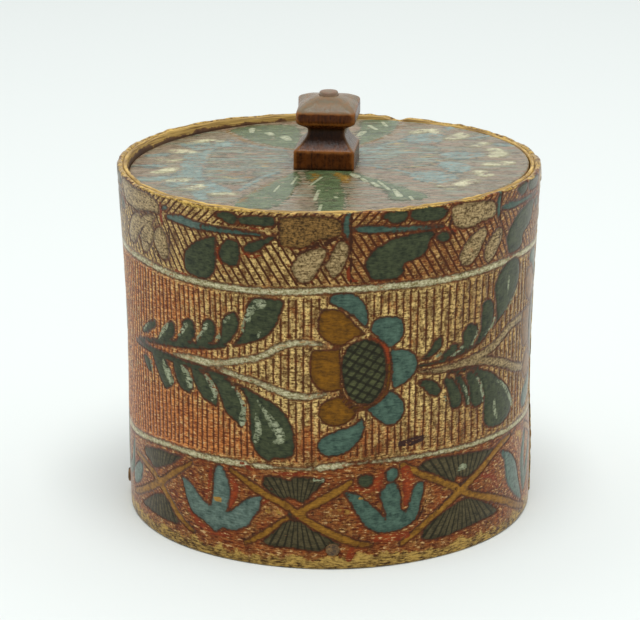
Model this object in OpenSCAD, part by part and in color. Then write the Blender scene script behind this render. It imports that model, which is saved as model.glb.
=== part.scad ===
// Round lidded bark container. A seamless bark sleeve stands inside a bark
// jacket that wraps round it and laps over itself at one side. A wooden bottom
// is pegged through the wall, and a wooden plug lid with a carved square knob
// wedges into the flared mouth.
// Angles round the wall are counted from the front (-Y) towards the right (+X).

/* [Wall] */
// Outer diameter of the straight part of the wall
body_d = 171; // [130:1:260]
// Height of the wall from its standing edge to the rim
wall_h = 149; // [100:1:240]
// How far the mouth flares out, measured on the radius
rim_flare = 2.75; // [0.5:0.05:6]
// Height of the flared stretch below the rim
flare_h = 100; // [60:1:140]
// Thickness of the seamless inner sleeve
sleeve_t = 1.9; // [1:0.1:3.5]
// Thickness of the wrapped outer jacket
jacket_t = 2.5; // [1.5:0.1:4]

/* [Jacket seam] */
// Angle of the jacket's exposed end
seam_angle = 97; // [95:1:150]
// Width of the lap along the wall
seam_lap = 26; // [15:1:45]
// Thickness of the thinned end that lies on top
lap_t = 1.4; // [0.8:0.1:2]
// Diameter of the small peg that pins the lap under the rim
seam_peg_d = 4; // [2.5:0.1:6]
// Distance of that peg below the rim
seam_peg_drop = 10.5; // [6:0.5:30]
// How far that peg stands out of the lap
seam_peg_proud = 1.1; // [0:0.1:2]

/* [Bottom] */
// Thickness of the bottom board
bottom_t = 12; // [8:0.5:25]
// Height of the board's underside above the standing edge
bottom_inset = 2.5; // [0:0.5:10]
// Bevel round the board's edges
bottom_bevel = 1.2; // [0.2:0.1:3]
// Diameter of the pegs that hold the board
peg_d = 6; // [3:0.1:7]
// Depth to which the pegs enter the board
peg_depth = 20; // [8:1:25]
// How far the proudest of them stands out of the wall
peg_proud = 1.5; // [0.2:0.1:3]

/* [Lid] */
// Thickness of the lid board
lid_t = 14; // [8:0.5:25]
// How far the lid's face lies below the rim
lid_recess = 2; // [0:0.1:8]
// Bevel round the lid's edges
lid_bevel = 0.8; // [0.2:0.1:2]

/* [Knob] */
// Width of the knob's square foot
knob_foot_w = 25.2; // [20:0.1:45]
// Height of the foot's upright sides
knob_foot_h = 7.8; // [4:0.1:12]
// Width of the waist
knob_waist_w = 15.4; // [13:0.1:18]
// Height from the foot to the narrowest part of the waist
knob_cove_h = 7; // [4:0.1:15]
// Height of the straight waist above the cove
knob_waist_h = 1.7; // [0.5:0.1:6]
// Height of the sloping underside of the cap
knob_under_h = 2.6; // [1:0.1:6]
// Width of the square cap
knob_cap_w = 24.7; // [20:0.1:45]
// Height of the cap's upright sides
knob_cap_h = 6.1; // [2:0.1:10]
// Height of the steeper strip of roof above the cap's sides
knob_bevel_h = 2.1; // [1:0.1:5]
// Inset of that strip
knob_bevel_in = 3; // [0.5:0.1:3.5]
// Height of the hipped roof above that strip
knob_roof_h = 1.9; // [1:0.1:8]
// Width of the flat left at the top of the roof
knob_top_w = 9.6; // [9.2:0.1:12]

/* [Knob fixing] */
// Diameter of the dowel through the knob and the lid
dowel_d = 8; // [5:0.1:9]
// How far the dowel's worn end stands out of the knob
dowel_proud = 1.8; // [0.4:0.1:4]
// How far the dowel reaches below the lid
dowel_tail = 9; // [7:0.5:15]
// Diameter of the cross pin under the lid
cotter_d = 4; // [2.5:0.1:5]
// Length of the cross pin
cotter_l = 24; // [14:1:40]

/* [Fits] */
// Gap between the sleeve and the jacket
layer_gap = 0.1; // [0.05:0.05:0.5]
// Gap between the bottom board and the sleeve
bottom_gap = 0.1; // [0.05:0.05:0.5]
// Gap between the lid and the sleeve
lid_gap = 0.4; // [0.3:0.05:1]
// Gap round a peg, dowel or pin in its hole
peg_gap = 0.05; // [0.03:0.01:0.2]

/* [Hidden] */
$fn = 96;
flare_steps = 8;
cove_steps = 10;
// The cove falls away from the foot as this power of the height left
cove_power = 1.6;
// Rounding cut off a peg's ends
peg_nose = 0.5;
// Margin by which a cut runs past the surface that it opens
cut = 1;

// Width of the jacket's lap as an angle, and the angle of the pegs that pin it
lap_degrees = seam_lap / (body_d / 2) * 180 / PI;
seam_peg_angle = seam_angle + lap_degrees / 3;

// Pegs round the bottom: angle, and the share of peg_proud that each stands out
BOTTOM_PEGS = [[-84, 1], [7, 0.1], [21, 0.1], [seam_peg_angle, 0.8], [195, 0.5]];
bottom_peg_names = [for (i = [1 : len(BOTTOM_PEGS)]) str("bottom_peg_", i)];

// Levels
peg_z = bottom_inset + bottom_t / 2;
seam_peg_z = wall_h - seam_peg_drop;
lid_top = wall_h - lid_recess;
lid_foot = lid_top - lid_t;
knob_cove_z = knob_foot_h + knob_cove_h;
knob_under_z = knob_cove_z + knob_waist_h;
knob_side_z = knob_under_z + knob_under_h;
knob_bevel_z = knob_side_z + knob_cap_h;
knob_roof_z = knob_bevel_z + knob_bevel_h;
knob_h = knob_roof_z + knob_roof_h;
cotter_z = lid_foot - cotter_d / 2 - peg_gap;

// Depths of the wall's faces below its outer face
sleeve_outside = -(jacket_t + layer_gap);
sleeve_inside = sleeve_outside - sleeve_t;

// Radius of the wall's outer face: straight below, then flaring as a square
function wall_r(z) =
    body_d / 2 + rim_flare * pow(max(0, (z - wall_h + flare_h) / flare_h), 2);

// Heights at which the wall's outline has a point, from z0 up to z1
function wall_levels(z0, z1) = concat(
    [z0],
    [for (i = [0 : flare_steps - 1])
        let (z = wall_h - flare_h + i * flare_h / flare_steps)
        if (z > z0 + 0.01 && z < z1 - 0.01) z],
    [z1]
);

// The wall's outer outline between two heights, moved outwards by an offset
function wall_line(z0, z1, offset) =
    [for (z = wall_levels(z0, z1)) [wall_r(z) + offset, z]];

function reversed(list) = [for (i = [len(list) - 1 : -1 : 0]) list[i]];

// A ring, or part of one, between two offsets of the wall's outline
module wall_ring(inside, outside, degrees = 360) {
    rotate_extrude(angle = degrees)
        polygon(concat(
            wall_line(0, wall_h, outside),
            reversed(wall_line(0, wall_h, inside))
        ));
}

// A board that fits in the sleeve between two heights, with bevelled edges
module board(z0, z1, gap, bevel) {
    edge = wall_line(z0 + bevel, z1 - bevel, sleeve_inside - gap);
    low = edge[0];
    high = edge[len(edge) - 1];
    rotate_extrude()
        polygon(concat(
            [[0, z0], [low[0] - bevel, z0]],
            edge,
            [[high[0] - bevel, z1], [0, z1]]
        ));
}

// Places a shape that is drawn along +Z so that it points out of the wall
module outwards(angle, z) {
    rotate([0, 0, angle]) translate([0, 0, z]) rotate([90, 0, 0]) children();
}

// A whittled peg between two radii, with both ends eased
module peg(d, r0, r1) {
    translate([0, 0, r0]) {
        cylinder(h = peg_nose, d1 = d - 2 * peg_nose, d2 = d);
        translate([0, 0, peg_nose]) cylinder(h = r1 - r0 - 2 * peg_nose, d = d);
        translate([0, 0, r1 - r0 - peg_nose])
            cylinder(h = peg_nose, d1 = d, d2 = d - 2 * peg_nose);
    }
}

// The hole for a peg between two radii
module peg_hole(d, r0, r1) {
    translate([0, 0, r0]) cylinder(h = r1 - r0, d = d + 2 * peg_gap);
}

// Radius of the surface that a bottom peg comes out of, lap included
function peg_face_r(angle) =
    wall_r(peg_z)
    + (angle > seam_angle && angle < seam_angle + lap_degrees ? lap_t : 0);

// Radius to which the bottom pegs reach inwards
peg_tip_r = wall_r(peg_z) + sleeve_inside - bottom_gap - peg_depth;
// Radius at which the seam peg starts, just inside the sleeve's inner face
seam_peg_r0 = wall_r(seam_peg_z) + sleeve_inside + lid_gap;

// Holes through the wall, for the bottom pegs and the seam peg
module wall_holes() {
    for (p = BOTTOM_PEGS)
        outwards(p[0], peg_z) peg_hole(peg_d, peg_tip_r, peg_face_r(p[0]) + cut);
    outwards(seam_peg_angle, seam_peg_z)
        peg_hole(seam_peg_d, seam_peg_r0 - cut - lid_gap, wall_r(seam_peg_z) + lap_t + cut);
}

module inner_sleeve() {
    color("burlywood")
        difference() {
            wall_ring(sleeve_inside, sleeve_outside);
            wall_holes();
        }
}

module outer_jacket() {
    color("sienna")
        difference() {
            union() {
                wall_ring(-jacket_t, 0);
                rotate([0, 0, seam_angle - 90])
                    wall_ring(-jacket_t / 2, lap_t, lap_degrees);
            }
            wall_holes();
        }
}

module seam_peg() {
    color("saddlebrown")
        outwards(seam_peg_angle, seam_peg_z)
            peg(seam_peg_d, seam_peg_r0, wall_r(seam_peg_z) + lap_t + seam_peg_proud);
}

module bottom_board() {
    color("tan")
        difference() {
            board(bottom_inset, bottom_inset + bottom_t, bottom_gap, bottom_bevel);
            for (p = BOTTOM_PEGS)
                outwards(p[0], peg_z)
                    peg_hole(peg_d, peg_tip_r - peg_gap, wall_r(peg_z));
        }
}

module bottom_peg(i) {
    p = BOTTOM_PEGS[i];
    color("saddlebrown")
        outwards(p[0], peg_z) peg(peg_d, peg_tip_r, peg_face_r(p[0]) + p[1] * peg_proud);
}

module lid_board() {
    color("slategray")
        difference() {
            board(lid_foot, lid_top, lid_gap, lid_bevel);
            translate([0, 0, lid_foot - cut])
                cylinder(h = lid_t + 2 * cut, d = dowel_d + 2 * peg_gap);
        }
}

// Right half of the knob's outline, from the foot up
function knob_half() = concat(
    [[knob_foot_w / 2, 0]],
    [for (i = [0 : cove_steps])
        let (t = i / cove_steps)
        [(knob_waist_w + (knob_foot_w - knob_waist_w) * pow(1 - t, cove_power)) / 2,
         knob_foot_h + knob_cove_h * t]],
    [
        [knob_waist_w / 2, knob_under_z],
        [knob_cap_w / 2, knob_side_z],
        [knob_cap_w / 2, knob_bevel_z],
        [knob_cap_w / 2 - knob_bevel_in, knob_roof_z],
        [knob_top_w / 2, knob_h]
    ]
);

// The outline as a bar that runs through the knob along Y
module knob_bar() {
    half = knob_half();
    rotate([90, 0, 0])
        linear_extrude(2 * max(knob_foot_w, knob_cap_w), center = true)
            polygon(concat(half, [for (p = reversed(half)) [-p[0], p[1]]]));
}

module knob() {
    color("maroon")
        translate([0, 0, lid_top])
            difference() {
                intersection() {
                    knob_bar();
                    rotate([0, 0, 90]) knob_bar();
                }
                translate([0, 0, -cut])
                    cylinder(h = knob_h + 2 * cut, d = dowel_d + 2 * peg_gap);
            }
}

module knob_dowel() {
    color("peru")
        difference() {
            peg(dowel_d, lid_foot - dowel_tail, lid_top + knob_h + dowel_proud);
            translate([0, 0, cotter_z]) rotate([0, 90, 0])
                cylinder(h = dowel_d + 2 * cut, d = cotter_d + 2 * peg_gap, center = true);
        }
}

module dowel_cotter() {
    color("peru")
        translate([0, 0, cotter_z]) rotate([0, 90, 0])
            peg(cotter_d, -cotter_l / 2, cotter_l / 2);
}

inner_sleeve();
outer_jacket();
seam_peg();
bottom_board();
for (i = [0 : len(BOTTOM_PEGS) - 1])
    bottom_peg(i);
lid_board();
knob();
knob_dowel();
dowel_cotter();
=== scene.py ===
"""A round birch bark container with a plug lid, dressed piece by piece as it is put together."""

import math

import bpy
import mathutils
import numpy as np
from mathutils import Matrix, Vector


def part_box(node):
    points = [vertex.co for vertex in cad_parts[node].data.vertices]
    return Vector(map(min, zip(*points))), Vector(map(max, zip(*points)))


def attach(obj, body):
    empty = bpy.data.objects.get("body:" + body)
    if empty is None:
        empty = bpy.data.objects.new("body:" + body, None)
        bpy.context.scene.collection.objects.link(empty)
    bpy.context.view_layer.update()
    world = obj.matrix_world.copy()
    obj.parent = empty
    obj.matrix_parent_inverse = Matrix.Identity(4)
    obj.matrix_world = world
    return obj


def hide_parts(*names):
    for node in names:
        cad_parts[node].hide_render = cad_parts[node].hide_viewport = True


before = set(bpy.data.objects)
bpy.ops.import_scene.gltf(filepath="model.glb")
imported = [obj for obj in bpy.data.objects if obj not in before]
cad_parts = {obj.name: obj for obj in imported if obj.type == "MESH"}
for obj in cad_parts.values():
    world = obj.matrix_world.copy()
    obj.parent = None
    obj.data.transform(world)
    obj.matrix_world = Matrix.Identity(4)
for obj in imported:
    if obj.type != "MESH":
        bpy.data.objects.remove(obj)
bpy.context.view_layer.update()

# Inner sleeve: a tube of bark drawn whole from a birch log, so it has no seam.
# Its yellow cut edge is the inner ring of the rim, and its lining shows when the
# lid is off. Lengths here are in millimetres until a mesh is made.
MM = 0.001
WALL_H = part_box("inner_sleeve")[1].z / MM
BODY_R = 85.5
RIM_FLARE = 2.75
FLARE_H = 100.0
JACKET_T = 2.5
SLEEVE_T = 1.9
LAYER_GAP = 0.1
LIP_H = 0.9
RIM_BAND = 8.0
LID_SEAT_Z, LID_SEAT_W = 144.9, 2.2
SLEEVE_COLUMNS = 420


def fade(value, none, full):
    """A share that runs straight from 0, where a value is at none, to 1, where it is at full."""
    return np.clip((value - none) / (full - none), 0, 1)


def bell(value, middle, width):
    """A share that is 1 at the middle and falls off on both sides as a bell curve of some width."""
    return np.exp(-(((value - middle) / width) ** 2))


def wall_radius(z):
    """Outer radius of the wall: straight at the foot, then flaring with the square of the height."""
    return BODY_R + RIM_FLARE * fade(z, WALL_H - FLARE_H, WALL_H) ** 2


def wall_loop(outside, inside, up, inner_rows):
    """A bark layer's outline, as offsets from the wall's outer face and heights: up its outer face at
    given heights, over a rounded lip, down its inner face and under a rounded foot, both half ellipses."""
    over = np.linspace(0, np.pi, 7)
    across = (outside + inside) / 2 + (outside - inside) / 2 * np.cos(over)
    down = np.linspace(WALL_H - LIP_H, LIP_H, inner_rows + 2)[1:-1]
    return np.concatenate([
        np.stack([np.full(len(up), outside), up], axis=1),
        np.stack([across, WALL_H - LIP_H + LIP_H * np.sin(over)], axis=1),
        np.stack([np.full(inner_rows, inside), down], axis=1),
        np.stack([across[::-1], LIP_H - LIP_H * np.sin(over)], axis=1),
    ])


def ripple(turn, seed, waves=6, slowest=1):
    """A hand-made unevenness round a circle: a sum of sine waves that closes on itself, about -1 to 1."""
    draws = np.random.default_rng(seed)
    total = np.zeros_like(turn)
    for k in range(slowest, slowest + waves):
        total = total + draws.normal() * np.sin(k * turn + draws.uniform(0, 2 * np.pi))
    return total / waves**0.5


def swell(turn, degrees, width):
    """A bump round the circle: 1 at an angle in degrees, falling off over a width in radians."""
    return np.exp((np.cos(turn - math.radians(degrees)) - 1) / width**2)


# The rim's rises, whose depth is negative, its dips and its chips: angle in degrees, depth, and width
# in radians
RIM_DIPS = [
    (-129, -0.9, 0.6), (38, -0.6, 0.5), (-32, 0.4, 0.4), (165, 1.7, 0.03), (151, 0.5, 0.05),
    (104, 0.7, 0.03), (-58, 0.5, 0.03), (-112, 0.5, 0.06), (-152, 0.4, 0.04),
]
RIM_DROP = 0.35


def rim_drop(turn, seed):
    """How far a layer's rim lies below its full height: an even drop, a rough edge of many short waves,
    and the rises, dips and chips as swells."""
    drop = RIM_DROP + 0.14 * ripple(turn, seed, 30, 8) + 0.1 * ripple(turn, seed + 1, 40, 60)
    for degrees, depth, width in RIM_DIPS:
        drop = drop + depth * swell(turn, degrees, width)
    return drop


def at_rim(z):
    """The share of the rim's unevenness that reaches a height: all at the top, none below the rim's band."""
    return fade(z, WALL_H - RIM_BAND, WALL_H) ** 2


def round_axis(radius, turn, z):
    """Points at a radius round the axis, at an angle counted from the front towards the right."""
    return np.stack(np.broadcast_arrays(radius * np.sin(turn), -radius * np.cos(turn), z), axis=-1)


def surface(name, points, body, fields, loop_rows=False):
    """A mesh over a grid of points, an array of rows by columns by three in millimetres.

    Neighbours are joined by quads and each row closes on itself. The rows close on each other too,
    or the first and last of them get a flat face. Fields are arrays of rows by columns for the material."""
    rows, columns = points.shape[:2]
    index = np.arange(rows * columns).reshape(rows, columns)
    here = index if loop_rows else index[:-1]
    above = np.roll(index, -1, axis=0) if loop_rows else index[1:]
    quads = np.stack([here, np.roll(here, -1, axis=1), np.roll(above, -1, axis=1), above], axis=-1)
    faces = quads.reshape(-1, 4).tolist()
    if not loop_rows:
        faces += [index[0, ::-1].tolist(), index[-1].tolist()]
    mesh = bpy.data.meshes.new(name)
    mesh.from_pydata((points.reshape(-1, 3) * MM).tolist(), [], faces)
    for field, values in fields.items():
        attribute = mesh.attributes.new(field, "FLOAT", "POINT")
        values = np.broadcast_to(values, (rows, columns))
        attribute.data.foreach_set("value", np.ascontiguousarray(values, dtype=np.float32).ravel())
    mesh.shade_smooth()
    piece = bpy.data.objects.new(name, mesh)
    bpy.context.scene.collection.objects.link(piece)
    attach(piece, body)
    return piece


def linear(hex_colour):
    """An sRGB hex colour as the linear red, green, blue and alpha that a shader takes."""
    srgb = np.array([int(hex_colour[i : i + 2], 16) for i in (1, 3, 5)]) / 255
    rgb = np.where(srgb <= 0.04045, srgb / 12.92, ((srgb + 0.055) / 1.055) ** 2.4)
    return (*rgb.tolist(), 1.0)


def node(tree, kind, inputs=None, out=0, **settings):
    """Adds a node with its settings, sets or links its inputs, and returns one of its outputs."""
    made = tree.nodes.new("ShaderNode" + kind)
    for name, value in settings.items():
        setattr(made, name, value)
    for key, value in (inputs or {}).items():
        if isinstance(value, bpy.types.NodeSocket):
            tree.links.new(value, made.inputs[key])
        else:
            made.inputs[key].default_value = value
    return made.outputs[out] if len(made.outputs) else None


def new_material(name):
    """An empty material, and its node tree."""
    material = bpy.data.materials.new(name)
    material.use_nodes = True
    material.node_tree.nodes.clear()
    return material, material.node_tree


# The Mix node's settings for colours, and the places of its colours among its sockets
COLOURS = {"out": 2, "data_type": "RGBA"}
A, B = 6, 7

sleeve_outside = -(JACKET_T + LAYER_GAP)
sleeve_inside = sleeve_outside - SLEEVE_T
profile = wall_loop(sleeve_outside, sleeve_inside, np.linspace(10, WALL_H - 4, 8), 60)
offset, level = profile[:, :1], profile[:, 1:]
turn = np.linspace(0, 2 * np.pi, SLEEVE_COLUMNS, endpoint=False)[None, :]
height = level - at_rim(level) * rim_drop(turn, 3)
# The lip's inner edge is frayed, most at the back left
frayed = 0.25 * np.abs(ripple(turn, 5, 40, 20))
frayed = frayed + 0.5 * swell(turn, -125, 0.5) * np.abs(ripple(turn, 6, 30, 14))
on_lip = fade(level, WALL_H - 1.6, WALL_H - 0.8) * fade(offset, sleeve_outside, sleeve_inside)
radius = wall_radius(level) + offset + on_lip * frayed
cut_edge = fade(level, WALL_H - 2.8, WALL_H - 1.0)
lid_seat = bell(level, LID_SEAT_Z, LID_SEAT_W)
sleeve_points = round_axis(radius, turn, height)
sleeve_fields = {"cut_edge": cut_edge, "lid_seat": lid_seat}
inner_sleeve = surface("inner_sleeve_tube", sleeve_points, "container", sleeve_fields, True)
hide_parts("inner_sleeve")

# Bare birch bark, its inner side showing: a leathery honey-brown sheet with dark
# pores 5 to 12 mm long that lie across the trunk, so they run round the tube.
# The cut edge is brighter yellow, and the lining is darker in a band at the lid's level.
# The sheet's layers show as streaks 0.5 mm thick, and its blotches are about 6 mm wide.
bare_bark, tree = new_material("bare_birch_bark")
place = node(tree, "TexCoord", out="Object")
lying = node(tree, "Mapping", {"Vector": place, "Scale": (110, 110, 1100)})
pores = node(tree, "TexNoise", {"Vector": lying, "Scale": 1.0, "Detail": 3.0, "Roughness": 0.6})
pore = node(tree, "MapRange", {0: pores, 1: 0.61, 2: 0.70})
layers = node(tree, "Mapping", {"Vector": place, "Scale": (60, 60, 2200)})
leaves = node(tree, "TexNoise", {"Vector": layers, "Scale": 1.0, "Detail": 4.0, "Roughness": 0.6})
blotch = node(tree, "TexNoise", {"Vector": place, "Scale": 160.0, "Detail": 6.0, "Roughness": 0.65})
fibre = node(tree, "MapRange", {0: leaves, 1: 0.34, 2: 0.66})
stain = node(tree, "MapRange", {0: blotch, 1: 0.32, 2: 0.68})
lining = node(tree, "Mix", {0: stain, A: linear("#5c3312"), B: linear("#b07c3c")}, **COLOURS)
lining = node(tree, "Mix", {0: pore, A: lining, B: linear("#2e1a0c")}, **COLOURS)
# The lining is darker in a band at the lid's level
lid_band = node(tree, "Attribute", out="Fac", attribute_name="lid_seat")
lining = node(tree, "Mix", {0: lid_band, A: lining, B: linear("#341c0a")}, **COLOURS)
edge = node(tree, "Mix", {0: fibre, A: linear("#6a4812"), B: linear("#d8b45e")}, **COLOURS)
height_share = node(tree, "Attribute", out="Fac", attribute_name="cut_edge")
broken = node(tree, "Math", {0: blotch, 1: 2.4, 2: height_share}, operation="MULTIPLY_ADD")
clean = node(tree, "MapRange", {0: broken, 1: 1.6, 2: 1.8})
tone = node(tree, "Mix", {0: clean, A: lining, B: edge}, **COLOURS)
bump = node(tree, "Bump", {"Height": leaves, "Strength": 0.5, "Distance": 0.0004})
shader = node(tree, "BsdfPrincipled", {"Base Color": tone, "Roughness": 0.5, "Normal": bump})
node(tree, "OutputMaterial", {"Surface": shader})
inner_sleeve.data.materials.append(bare_bark)

# Outer jacket: a sheet of bark wrapped round the sleeve and lapped on itself at
# the right, where its thinned end lies on top. Its outer face is scored all over
# with fine upright lines, incised and painted with sprays, flowers and friezes.
# Where the lapped end's cut edge lies, how thick the end is there, and over what angle it thins out
SEAM = math.radians(97)
LAP_T = 0.85
LAP = math.radians(17.5)
# The ornament is laid out in millimetres round a circle of this radius, from a line 6 degrees
# right of the front
PAINT_R = 85.0
PAINT_TURN = math.radians(6)
GIRTH = 2 * np.pi * PAINT_R
SCORE_W, SCORE_SWAY, SCORE_JITTER = 0.5, 0.16, 0.2
SCORE_DEPTH, OUTLINE_DEPTH, HATCH_DEPTH = 0.36, 0.16, 0.18
PAINT_T = 0.07
END_GAP = 0.08
# How far from its edge a paint's field is worked out, and what it holds further away
MARGIN, FAR = 5, 9.0

# Rows of points up the wall lie closer where the two border lines run
ROWS = 118
ROW_COUNTS, ROW_HEIGHTS = (0, 24, 37, 85, 95, ROWS - 1), (2.0, 36, 47, 113, 121, WALL_H - LIP_H - 0.6)
up = np.interp(np.arange(ROWS), ROW_COUNTS, ROW_HEIGHTS)
profile = wall_loop(0.0, -JACKET_T, up, 3)
offset, level = profile[:, :1], profile[:, 1:]
draws = np.random.default_rng(11)
# The scored lines lie 2.6 to 3.5 mm apart, closest on the left of the front and widest on its right
SCORE_PLACES = (0, 285, 300, 366, 370, 430, 440, GIRTH)
SCORE_SPACING = (3.2, 3.2, 2.6, 2.6, 3.0, 3.0, 3.5, 3.5)
along = np.linspace(0, GIRTH, 4000)
spacing = np.interp(along, SCORE_PLACES, SCORE_SPACING)
count = np.cumsum(1 / spacing) * (along[1] - along[0])
SCORES = int(count[-1])
scores = np.interp((np.arange(SCORES) + 0.5) * count[-1] / SCORES, count, along)
scores = scores + draws.uniform(-SCORE_JITTER, SCORE_JITTER, SCORES)
crests = (scores + np.append(scores[1:], GIRTH)) / 2
# Each line has a column of points at its bottom, one at each edge, and one on the crest to its right
across = np.stack([scores - SCORE_W, scores, scores + SCORE_W, crests], axis=1)
across = np.concatenate([[END_GAP], across.ravel(), [GIRTH - END_GAP]])
sway = SCORE_SWAY * np.sin(level / draws.uniform(8, 26, SCORES) + draws.uniform(0, 2 * np.pi, SCORES))
across = across + np.pad(np.repeat(sway, 4, axis=1), ((0, 0), (1, 1)))
turn = SEAM + across / PAINT_R
# s is the place round the wall and z the height, for each point of the grid
s = (SEAM - PAINT_TURN) * PAINT_R + across
z = np.broadcast_to(level, s.shape)
PAINTS = ("brown", "pale", "cream", "lattice", "ochre", "red", "rosette", "green", "steel", "blue", "seed",
          "stain", "line", "white", "bare")


def canvas_for(places, heights, girth, paints):
    """A surface to paint on: its points' places and heights, the girth after which places come round
    again, and a field for each paint, the distance to the paint's edge, far off to begin with."""
    fields = {name: np.full(places.shape, FAR) for name in paints}
    return {"s": places, "z": heights, "girth": girth, "paint": fields}


wall = canvas_for(s, z, GIRTH, PAINTS)


def smooth_line(points):
    """A curve through points: on each stretch, a cubic whose slope at each point is half the chord between
    that point's neighbours."""
    p = np.array(points, float)
    p = np.concatenate([[2 * p[0] - p[1]], p, [2 * p[-1] - p[-2]]])
    stretches = []
    for a, b, c, d in zip(p, p[1:], p[2:], p[3:]):
        t = np.linspace(0, 1, 3 + int(np.hypot(*(c - b)[:2]) / 0.7))[:, None]
        cubic = (2 * a - 5 * b + 4 * c - d) * t**2 + (3 * b - a - 3 * c + d) * t**3
        stretches.append((2 * b + (c - a) * t + cubic) / 2)
    return np.concatenate(stretches)


def near_line(canvas, line, reach):
    """Which points of a canvas lie in the box round a line and within reach of it, and how far each of
    them lies to the right of each of the line's points and above it."""
    low, high = line.min(axis=0) - reach, line.max(axis=0) + reach
    there = low[0] + (canvas["s"] - low[0]) % canvas["girth"]
    near = (there < high[0]) & (canvas["z"] > low[1]) & (canvas["z"] < high[1])
    return near, there[near][:, None] - line[:, 0], canvas["z"][near][:, None] - line[:, 1]


def brush(canvas, name, points):
    """Lays a stroke of paint: points are place, height and half width. The paint's field takes the distance
    to the stroke's edge, negative inside, wherever that is less than it holds."""
    line = smooth_line(points)
    near, x, y = near_line(canvas, line, line[:, 2].max() + MARGIN)
    field = canvas["paint"][name]
    field[near] = np.minimum(field[near], (np.hypot(x, y) - line[:, 2]).min(axis=1))


def fill(canvas, name, corners):
    """Fills a smooth outline through some corners with paint: the field takes the distance to its nearest
    side, negative inside, where a level line to the right crosses its sides an odd number of times.
    A corner given twice stays sharp."""
    p = np.array(corners, float)
    ahead, behind = np.roll(p, -1, axis=0), np.roll(p, 1, axis=0)
    slope, slope_ahead = (ahead - behind) / 2, (np.roll(p, -2, axis=0) - p) / 2
    t = np.array([0, 0.25, 0.5, 0.75])[:, None, None]
    curve = p + t * slope + t**2 * (3 * (ahead - p) - 2 * slope - slope_ahead)
    curve = curve + t**3 * (2 * (p - ahead) + slope + slope_ahead)
    p = curve.transpose(1, 0, 2).reshape(-1, 2)
    side = np.roll(p, -1, axis=0) - p
    near, x, y = near_line(canvas, p, MARGIN)
    length = np.maximum((side**2).sum(axis=1), 1e-6)
    share = np.clip((x * side[:, 0] + y * side[:, 1]) / length, 0, 1)
    gap = np.hypot(x - share * side[:, 0], y - share * side[:, 1]).min(axis=1)
    rise = np.where(side[:, 1] == 0, 1, side[:, 1])
    crossed = ((y < 0) != (y < side[:, 1])) & (x < side[:, 0] * y / rise)
    gap = np.where(crossed.sum(axis=1) % 2 == 1, -gap, gap)
    field = canvas["paint"][name]
    field[near] = np.minimum(field[near], gap)


def lay(canvas, motif, start=0.0, stretch=1.0):
    """Paints a motif, with its places counted from a start and stretched: strokes have three numbers
    a point, and outlines to fill have two."""
    for name, shapes in motif.items():
        for points in shapes:
            draw = brush if len(points[0]) == 3 else fill
            draw(canvas, name, [(start + stretch * p[0], *p[1:]) for p in points])


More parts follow.
